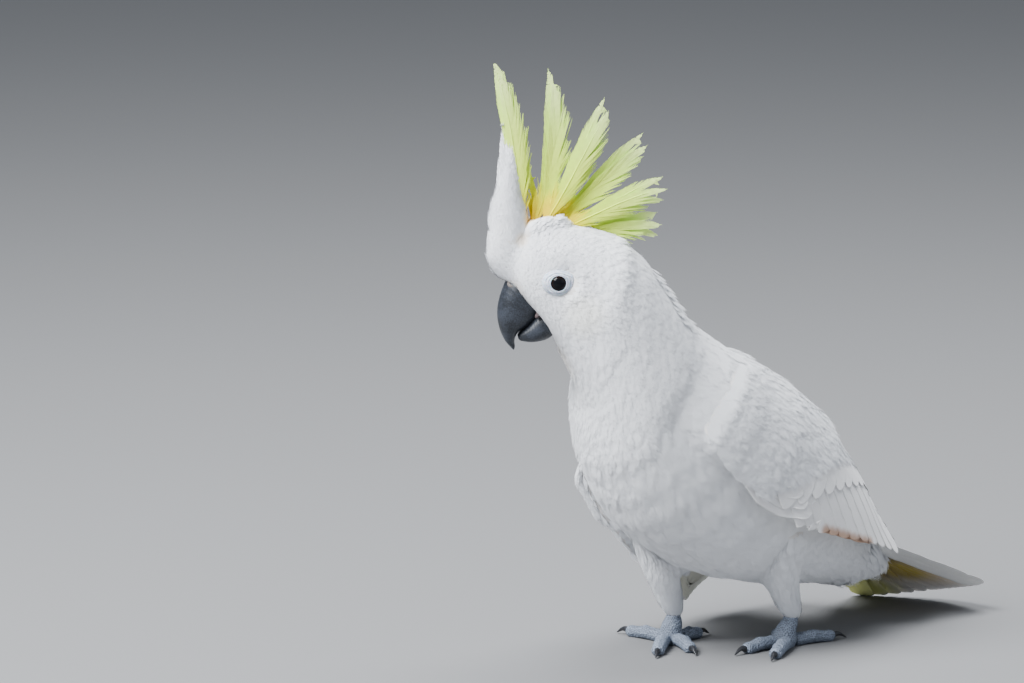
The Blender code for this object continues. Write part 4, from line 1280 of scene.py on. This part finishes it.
def tint_ramp(tree, share, tints):
    """The colour that goes with a share, from places between 0 and 1 and the tint at each."""
    ramp = add_node(tree, "ShaderNodeValToRGB", {"Fac": share})
    while len(ramp.color_ramp.elements) < len(tints):
        ramp.color_ramp.elements.new(0.5)
    for element, (place, tint) in zip(ramp.color_ramp.elements, tints):
        element.position, element.color = place, (*tint, 1.0)
    return ramp.outputs["Color"]


# From the golden root to the lemon tip.
CREST_TINTS = (
    (0.04, (0.90, 0.66, 0.0)),
    (0.15, (0.93, 0.86, 0.0)),
    (0.27, (0.80, 1.0, 0.06)),
    (0.70, (0.75, 1.0, 0.19)),
    (1.0, (0.82, 1.0, 0.40)),
)
crest_paint, tree, shader = new_material("crest_paint", roughness=0.75, specular=0.2)
share = add_node(tree, "ShaderNodeAttribute", attribute_name="along").outputs["Fac"]
flecks = {"Value": clouds(tree, 300.0), "To Min": 0.86, "To Max": 1.08}
lighter = add_node(tree, "ShaderNodeMapRange", flecks).outputs["Result"]
crest_tone = mix_colours(tree, 1.0, tint_ramp(tree, share, CREST_TINTS), lighter, blend_type="MULTIPLY")
tree.links.new(crest_tone, shader.inputs["Base Color"])
shader.inputs["Sheen Weight"].default_value = 0.3
shader.inputs["Sheen Tint"].default_value = (0.95, 1.0, 0.6, 1.0)


def add_plumes(name, rows, paint):
    """One piece of several plumes, each given as its row, shifts, seed, fray and its tint's reach."""
    points, faces, along = [], [], []
    for row, shifts, seed, fray, reach in rows:
        more_points, more_faces, more_along = plume(row, shifts, seed, fray)
        faces += [tuple(i + len(points) for i in face) for face in more_faces]
        points += more_points
        along += [share * reach for share in more_along]
    stack = add_mesh(name, [head_spot(*spot) for spot in points], faces, paint)
    write_values(stack.data, "along", np.array(along))
    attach(stack, "root")
    return stack


# Beside the main feather each stack has fellows: their tip's move back and up, side step and size.
# Two short golden ones fill its root.
FELLOWS = ((0.0, 0.0, 0.0, 1.0), (-3.0, -8.0, 2.0, 0.82), (-1.0, -16.0, -2.0, 0.74))
ROOT_SHARE = 0.36  # their length, as a share of the stack's
GOLDEN_REACH = 0.26  # they keep to this first share of the tints
for number, row in enumerate(CREST, 1):
    side_step = CREST_SHIFT if number % 2 else -CREST_SHIFT
    rows = []
    for k, (back, rise, step, size) in enumerate(FELLOWS):
        own = list(row)
        own[4] += back
        own[5] += rise
        own[6] *= size
        rows.append((own, (side_step + step,) * 2, 40 * number + k, (1.34, 0.86), 1.0))
    short = [row[0], row[1]]
    for k in (2, 3, 4, 5):
        short.append(row[k % 2] + (row[k] - row[k % 2]) * ROOT_SHARE)
    for k, turn in enumerate((-7.0, 6.0)):
        lean = list(short)
        lean[4] += turn
        shift = side_step + 1.2 * (1 - 2 * k)
        rows.append((lean + [8.0], (shift, shift), 40 * number + 7 + k, (1.1, 0.7), GOLDEN_REACH))
    stack = add_plumes("crest_plume_%d" % number, rows, crest_paint)
    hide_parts("crest_feather_%d" % number)

# White feathers of the forehead stand up in a soft column before the first stack. They grow from a
# core: up of each ring, ahead of its front and of its rear, and half its width.
COLUMN = (
    (20, 48, 36, 5.0),
    (30, 55.0, 33, 10.0),
    (39, 57.4, 32, 11.8),
    (48, 56.2, 33, 11.2),
    (58, 53.6, 35.5, 9.4),
    (68, 50.4, 37, 7.4),
    (78, 47.8, 38, 5.8),
    (90, 46.2, 39, 4.2),
    (99, 45.2, 40.5, 2.8),
    (105, 44.8, 42.2, 1.4),
)
COLUMN_SIDES, COLUMN_STEPS = 28, 40
COLUMN_LENGTH, COLUMN_SHORTER = 12.0, 4.0  # length of its lowest feathers, and how much shorter on top
column_height = COLUMN[-1][0] - COLUMN[0][0]
points, outward, feather_lengths = [], [], []
for rise, front, rear, half in smooth_rows(COLUMN, COLUMN_STEPS):
    for i in range(COLUMN_SIDES):
        turn = 2 * math.pi * i / COLUMN_SIDES
        middle = (front + rear) / 2
        ahead = middle + (front - rear) / 2 * math.cos(turn)
        points.append(head_spot(ahead, rise, half * math.sin(turn)))
        facing = head_ahead * math.cos(turn) * half + head_left * math.sin(turn) * (front - rear) / 2
        outward.append(facing.normalized())
        feather_lengths.append(COLUMN_LENGTH - COLUMN_SHORTER * (rise - COLUMN[0][0]) / column_height)
faces = ring_faces(COLUMN_STEPS, COLUMN_SIDES)
faces.append(tuple(range((COLUMN_STEPS - 1) * COLUMN_SIDES, COLUMN_STEPS * COLUMN_SIDES)))
faces.append(tuple(reversed(range(COLUMN_SIDES))))
column = add_mesh("forehead_column", points, faces, skin_tint)
outward = np.array(outward)
way = np.array(up * 1.0 + head_ahead * 0.04)
way = unit(way - (outward @ way)[:, None] * outward)
grid = np.stack([np.tile(np.arange(COLUMN_SIDES) / COLUMN_SIDES, COLUMN_STEPS),
                 np.repeat(np.arange(COLUMN_STEPS) / COLUMN_STEPS, COLUMN_SIDES),
                 np.zeros(COLUMN_STEPS * COLUMN_SIDES)], axis=1)
for key, values in (
    ("lie", way), ("skin_up", outward), ("unwrap", grid), ("feather_length", np.array(feather_lengths)),
):
    write_values(column.data, key, values)
everywhere = np.ones(len(points))
grow_coat("forehead_sheath", everywhere, 1.25, 6, fine_kinds, white_feathers, seed=91, body=column)
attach(column, "root")

# --- The bill -----------------------------------------------------------------------------------
# Two halves of slate-grey horn with a powdery bloom: a deep hooked upper half and a short broad
# lower one that shuts into it. A strip of bare skin with the nostrils lies across the root.

# Ahead and up of the ridge, ahead and up of the cutting edge, half width.
UPPER_BILL = (
    (44.0, 9.0, 12.0, -6.0, 11.5),
    (46.3, 5.4, 18.6, -11.6, 12.6),
    (50.3, -5.5, 24.0, -17.4, 12.0),
    (52.0, -16, 30.5, -24.6, 10.2),
    (50.8, -26, 37.6, -29.4, 7.6),
    (47.2, -35, 40.2, -35.0, 4.4),
    (42.6, -40.6, 40.0, -39.6, 1.5),
    (40.9, -42.2, 40.5, -42.0, 0.3),
)
LOWER_BILL = (
    (15.5, -7.0, 7.0, -25.0, 10.6),
    (20.2, -11.2, 12.2, -30.2, 11.0),
    (25.6, -16.8, 18.0, -34.8, 10.6),
    (31.6, -24.0, 27.5, -36.8, 9.0),
    (36.8, -29.4, 35.6, -35.9, 6.0),
    (38.2, -31.8, 37.6, -34.4, 3.2),
)
HORN_SIDES, HORN_STEPS = 64, 72


def facing_out(obj, merge=0.0):
    """The object with its faces turned outwards, once points nearer than merge are one."""
    shape = bmesh.new()
    shape.from_mesh(obj.data)
    if merge:
        bmesh.ops.remove_doubles(shape, verts=shape.verts, dist=merge)
    bmesh.ops.recalc_face_normals(shape, faces=shape.faces)
    shape.to_mesh(obj.data)
    shape.free()
    return obj


def horn(name, rows, ridge, paint, growth):
    """A closed horn from oval rings, with a soft ridge and faint growth lines."""
    points = []
    made = smooth_rows(rows, HORN_STEPS)
    for k, (ahead, rise, low_ahead, low_rise, half) in enumerate(made):
        middle = np.array(((ahead + low_ahead) / 2, (rise + low_rise) / 2))
        arm = np.array(((ahead - low_ahead) / 2, (rise - low_rise) / 2))
        for i in range(HORN_SIDES):
            angle = 2 * math.pi * i / HORN_SIDES
            c, s = math.cos(angle), math.sin(angle)
            long = math.copysign(abs(c) ** 0.92, c) * (1 + ridge * max(c, 0.0) ** 12)
            wide = math.copysign(abs(s) ** 0.86, s)
            size = 1 + growth * math.sin(k * 1.7 + 0.6 * math.sin(3 * angle))
            spot = middle + arm * long * size
            points.append(head_spot(spot[0], spot[1], half * wide * size))
    faces = ring_faces(HORN_STEPS, HORN_SIDES)
    faces.append(tuple(reversed(range(HORN_SIDES))))
    faces.append(tuple(range((HORN_STEPS - 1) * HORN_SIDES, HORN_STEPS * HORN_SIDES)))
    return facing_out(add_mesh(name, points, faces, paint))


def horn_material(name, dark, powder, roughness, amount):
    """Dark horn under a cloudy bloom of powder."""
    mat, tree, shader = new_material(name, roughness, 0.45)
    both = maths(tree, "ADD", clouds(tree, 95.0, 7.0, 0.6), clouds(tree, 1100.0, 3.0))
    bloom = add_node(tree, "ShaderNodeMapRange", {
        "Value": both, "From Min": 0.82, "From Max": 1.22, "To Min": 0.0, "To Max": amount,
    })
    tone = mix_colours(tree, bloom.outputs["Result"], dark, powder)
    tree.links.new(tone, shader.inputs["Base Color"])
    roughen(tree, shader, both, 0.35)
    return mat


bill_paint = horn_material("bill_horn_paint", (0.010, 0.012, 0.016), (0.040, 0.047, 0.063), 0.42, 0.9)
upper_bill = horn("upper_bill", UPPER_BILL, 0.03, bill_paint, 0.004)
lower_bill = horn("lower_bill", LOWER_BILL, 0.0, bill_paint, 0.004)
for piece, node in ((upper_bill, "bill_upper"), (lower_bill, "bill_lower")):
    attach(piece, "root")
    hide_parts(node)


def soft_lump(name, middle, axes, sizes, paint, dent=0.0, lines=20, rounds=28):
    """A rounded lump of flesh on three axes, with a dent of this depth in the middle of its face."""
    points = []
    for k in range(lines + 1):
        angle = math.pi * k / lines
        pit = dent * math.exp(-((angle / 0.5) ** 2))
        for i in range(rounds):
            turn = 2 * math.pi * i / rounds
            ripple = 1 + 0.05 * math.sin(3 * turn + k * 0.4)
            round_it = math.sin(angle) * ripple
            shares = (round_it * math.cos(turn), round_it * math.sin(turn), math.cos(angle) * (1 - pit))
            points.append(middle + sum((a * s * h for a, s, h in zip(axes, sizes, shares)), Vector()) * MM)
    lump = add_mesh(name, points, ring_faces(lines + 1, rounds), paint)
    return facing_out(lump, merge=0.001 * MM)


# Bare skin: a low cere with a nostril on each side of the ridge, and a dusky fold at each corner of
# the mouth.
cere_paint = horn_material("cere_paint", (0.10, 0.085, 0.080), (0.30, 0.26, 0.23), 0.65, 0.9)
fold_paint = horn_material("fold_paint", (0.045, 0.034, 0.036), (0.16, 0.11, 0.11), 0.6, 0.9)
for side, sign in (("left", 1), ("right", -1)):
    out = (head_left * sign * 0.8 + up * 0.5 + head_ahead * 0.3).normalized()
    along_cere = (head_ahead - out * head_ahead.dot(out)).normalized()
    axes = (along_cere, out.cross(along_cere), out)
    middle = head_spot(41.5, 5.2, 6.8 * sign)
    cere = soft_lump("cere_" + side, middle, axes, (4.6, 3.4, 2.4), cere_paint, dent=1.1)
    way = (head_ahead * 0.62 - up * 0.78).normalized()
    out = (head_left * sign - way * head_left.dot(way) * sign).normalized()
    axes = (way, out.cross(way), out)
    middle = head_spot(22.5, -13.6, 10.6 * sign)
    fold = soft_lump("mouth_fold_" + side, middle, axes, (6.6, 2.3, 2.2), fold_paint)
    for piece in (cere, fold):
        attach(piece, "root")

# --- The eyes and their lids --------------------------------------------------------------------
# A wet near-black eyeball in a ring of bare, pale blue skin. The skin lies in fine folds round the
# eye and draws out to a point behind and above it.

EYE_RADIUS, EYE_LINES, EYE_ROUND = 7.0, 28, 48
EYE_SUNK = 1.3 * MM  # the dressed eyes sit this much deeper than the solid ones
# Rings of the lids from their root in the feathers to the rim: out from the eyeball's middle, half
# length and half height.
LID_RINGS = (
    (-3.0, 10.6, 8.7),
    (0.0, 11.3, 9.2),
    (1.8, 11.0, 9.0),
    (3.0, 10.0, 8.3),
    (3.9, 8.6, 7.4),
    (4.5, 7.4, 6.7),
    (5.1, 6.3, 6.1),
    (5.35, 5.7, 5.65),
    (5.1, 5.35, 5.3),
    (4.3, 5.2, 5.15),
)
LID_STEPS, LID_SIDES = 46, 96
LID_FOLD, LID_PLEAT, LID_POINT = 0.36, 0.20, 0.20  # depth of the folds and pleats, reach of the point
IRIS_TINTS = ((0.52, (0.004, 0.004, 0.005)), (0.60, (0.010, 0.006, 0.005)))  # from the middle outwards
LID_TINTS = ((0.36, (0.46, 0.53, 0.65)), (0.64, (0.72, 0.77, 0.85)))
POINT_ANGLE = math.radians(152)  # from ahead, over the top, to the corner of the skin

eye_paint, tree, shader = new_material("eye_paint", roughness=0.06, specular=0.11)
shader.inputs["Coat Weight"].default_value = 0.05
shader.inputs["Coat Roughness"].default_value = 0.03
away = add_node(tree, "ShaderNodeAttribute", attribute_name="along").outputs["Fac"]
tree.links.new(tint_ramp(tree, away, IRIS_TINTS), shader.inputs["Base Color"])

lid_paint, tree, shader = new_material("lid_paint", roughness=0.62, specular=0.3)
spots = clouds(tree, 420.0, 4.0)
tree.links.new(tint_ramp(tree, spots, LID_TINTS), shader.inputs["Base Color"])
roughen(tree, shader, spots, 0.3)
shader.inputs["Subsurface Weight"].default_value = 0.15
shader.inputs["Subsurface Scale"].default_value = 0.002

for side, sign in (("left", 1), ("right", -1)):
    out = head_left * sign
    middle = eye_middles[side] - out * EYE_SUNK
    points, along = [middle + out * EYE_RADIUS * MM], [0.0]
    for k in range(1, EYE_LINES):
        angle = math.pi * k / EYE_LINES
        for i in range(EYE_ROUND):
            turn = 2 * math.pi * i / EYE_ROUND
            flat = head_ahead * math.cos(turn) * sign + up * math.sin(turn)
            points.append(middle + (out * math.cos(angle) + flat * math.sin(angle)) * EYE_RADIUS * MM)
            along.append(math.sin(angle) if angle < math.pi / 2 else 1.0)
    faces = [(0, 1 + i, 1 + (i + 1) % EYE_ROUND) for i in range(EYE_ROUND)]
    faces += ring_faces(EYE_LINES - 1, EYE_ROUND, first=1)
    faces.append(tuple(range(len(points) - EYE_ROUND, len(points))))
    eyeball = facing_out(add_mesh("eyeball_" + side, points, faces, eye_paint))
    write_values(eyeball.data, "along", np.array(along))
    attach(eyeball, "root")
    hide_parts("eye_" + side)

    points = []
    for k, (depth, long, high) in enumerate(smooth_rows(LID_RINGS, LID_STEPS)):
        share = k / (LID_STEPS - 1)
        shown = math.sin(math.pi * min(max((share - 0.15) / 0.75, 0.0), 1.0))
        for i in range(LID_SIDES):
            turn = 2 * math.pi * i / LID_SIDES
            corner = max(math.cos(turn - POINT_ANGLE), 0.0) ** 10 * LID_POINT * (1 - share) ** 0.7
            sway = 1.2 * math.sin(2 * turn + 1) + 0.5 * math.sin(5 * turn)
            fold = LID_FOLD * shown * math.sin(share * 34 + sway)
            pleat = LID_PLEAT * shown * math.sin(38 * turn + 2.0 * math.sin(3 * turn)) * share
            flat = head_ahead * math.cos(turn) * long + up * math.sin(turn) * high
            points.append(middle + (flat * (1 + corner) + out * (depth + fold + pleat)) * MM)
    # The inner end runs back behind the eyeball's face and closes with the root.
    faces = ring_faces(LID_STEPS, LID_SIDES)
    final = (LID_STEPS - 1) * LID_SIDES
    for i in range(LID_SIDES):
        j = (i + 1) % LID_SIDES
        faces.append((final + i, final + j, j, i))
    if sign < 0:
        faces = [face[::-1] for face in faces]
    lids = facing_out(add_mesh("lids_" + side, points, faces, lid_paint))
    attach(lids, "root")
    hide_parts("eyelids_" + side)

# --- The feet and claws -------------------------------------------------------------------------
# Slate-grey feet with two toes before and two behind. A skin of small domed scales with pale edges
# covers shank, pad and toes, and each toe ends in a long curved black claw.

TOE_NAMES = ("inner", "outer", "hallux", "rear")
FOOT_CELL, FOOT_SMOOTHING, FOOT_FILL = 0.6 * MM, 10, 0.9 * MM
SHANK_TOP, SHANK_TAPER, SHANK_THINNER = 2 * MM, 7 * MM, 0.30
ABOVE_TOES, ON_SHANK = (2 * MM, 6 * MM), (9 * MM, 14 * MM)  # heights between which each takes over
SCALE_SPACING, SCALE_LEAN, SCALE_SEED = 1.25, 4, 5
SCALE_LENGTH, TOP_LENGTH = 1.75, 0.5  # how long the scales are, and how much longer above the toes
FLOOR_CLEAR = 1.3 * MM  # the lowest scales' roots
FOOT_TINTS = ((0.25, (0.024, 0.030, 0.044)), (1.0, (0.21, 0.245, 0.31)))
foot_paint, tree, shader = new_material("foot_paint", roughness=0.58, specular=0.35)
rim = add_node(tree, "ShaderNodeAttribute", attribute_name="along").outputs["Fac"]
dust = clouds(tree, 260.0, 5.0)
pale = maths(tree, "ADD", rim, maths(tree, "MULTIPLY", dust, 0.55))
tree.links.new(tint_ramp(tree, pale, FOOT_TINTS), shader.inputs["Base Color"])
roughen(tree, shader, dust, 0.4, 0.0004)
claw_paint = horn_material("claw_paint", (0.010, 0.010, 0.012), (0.055, 0.058, 0.068), 0.30, 0.5)


def foot_scale(name, seed):
    """A domed scale about one unit long with its middle at the root, in twelve faces."""
    rng = np.random.default_rng(seed)
    points, faces = [(0.0, 0.0, 0.26)], []
    for size, rise in ((0.36, 0.22), (0.56, -0.04)):
        for i in range(6):
            angle = 2 * math.pi * (i + rng.uniform(-0.12, 0.12)) / 6
            points.append((size * math.cos(angle), size * math.sin(angle) * 1.1, rise))
    for i in range(6):
        j = (i + 1) % 6
        faces.append((0, 1 + i, 1 + j))
        faces.append((1 + i, 7 + i, 7 + j, 1 + j))
    mesh = bpy.data.meshes.new(name)
    mesh.from_pydata(points, [], faces)
    mesh.polygons.foreach_set("use_smooth", [True] * len(faces))
    shape = np.array(points)
    write_values(mesh, "along", np.clip(np.linalg.norm(shape[:, :2], axis=1) * 1.7, 0.0, 1.0))
    patch = np.stack([shape[:, 0] + 0.5, shape[:, 1] + 0.5, np.zeros(len(shape))], axis=1)
    write_values(mesh, "patch", patch)
    return bpy.data.objects.new(name, mesh)


SCALE_KINDS = 3
scale_kinds = bpy.data.collections.new("foot_scales")
for seed in range(SCALE_KINDS):
    scale_kinds.objects.link(foot_scale("foot_scale_%d" % seed, seed))

for side in ("left", "right"):
    nodes = ["foot_" + side] + ["toe_%s_%s" % (name, side) for name in TOE_NAMES]
    foot = remeshed(merged_copy("foot_flesh_" + side, nodes, FOOT_FILL), FOOT_CELL, FOOT_SMOOTHING)
    spots = read_values(foot.data.vertices, "co", 3)
    spots[:, 2] = np.maximum(spots[:, 2], 0.0)
    # The shank grows thinner where it goes in under the feathers.
    top = spots[:, 2].max()
    shank = spots[spots[:, 2] > top - SHANK_TOP].mean(axis=0)
    taper = step_up(spots[:, 2], top - SHANK_TAPER, top)[:, None]
    thinner = SHANK_THINNER * taper * np.array((1.0, 1.0, 0.0))
    spots += (shank - spots) * thinner
    foot.data.vertices.foreach_set("co", spots.ravel())
    foot.data.update()
    paint_over(foot, foot_paint)
    normals = read_values(foot.data.vertices, "normal", 3)
    low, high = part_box("foot_" + side)
    outward = spots - np.array((low + high) / 2)
    outward[:, 2] = 0.0
    down = np.array((0.0, 0.0, -1.0))
    on_shank = step_up(spots[:, 2], *ON_SHANK)[:, None]
    way = laid_flat(unit(outward) * (1 - on_shank) + down * on_shank, normals)
    for name, values in (
        ("lie", way), ("skin_up", normals), ("unwrap", np.zeros((len(spots), 3))),
        ("feather_length", SCALE_LENGTH + TOP_LENGTH * step_up(spots[:, 2], *ABOVE_TOES)),
    ):
        write_values(foot.data, name, values)
    clear_of_floor = np.where((spots[:, 2] > FLOOR_CLEAR) & (normals[:, 2] > -0.5), 1.0, 0.0)
    write_values(foot.data, "along", np.full(len(spots), 0.5))
    scales = bpy.data.objects.new("foot_scales_" + side, foot.data.copy())
    bpy.context.scene.collection.objects.link(scales)
    plant(scales, clear_of_floor, {
        "Feathers": scale_kinds, "Spacing": SCALE_SPACING * MM, "Lean": math.radians(SCALE_LEAN), "Size": MM,
        "Kinds": SCALE_KINDS, "Seed": SCALE_SEED, "Paint": foot_paint,
    })
    for piece in (foot, scales):
        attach(piece, "root")
    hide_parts(*nodes)
    for name in TOE_NAMES:
        node = "claw_%s_%s" % (name, side)
        claw = merged_copy("long_" + node, (node,))
        rounder = claw.modifiers.new("rounder", "SUBSURF")
        rounder.levels = rounder.render_levels = 2
        made_plain(claw)
        paint_over(claw, claw_paint)
        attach(claw, "root")
        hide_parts(node)
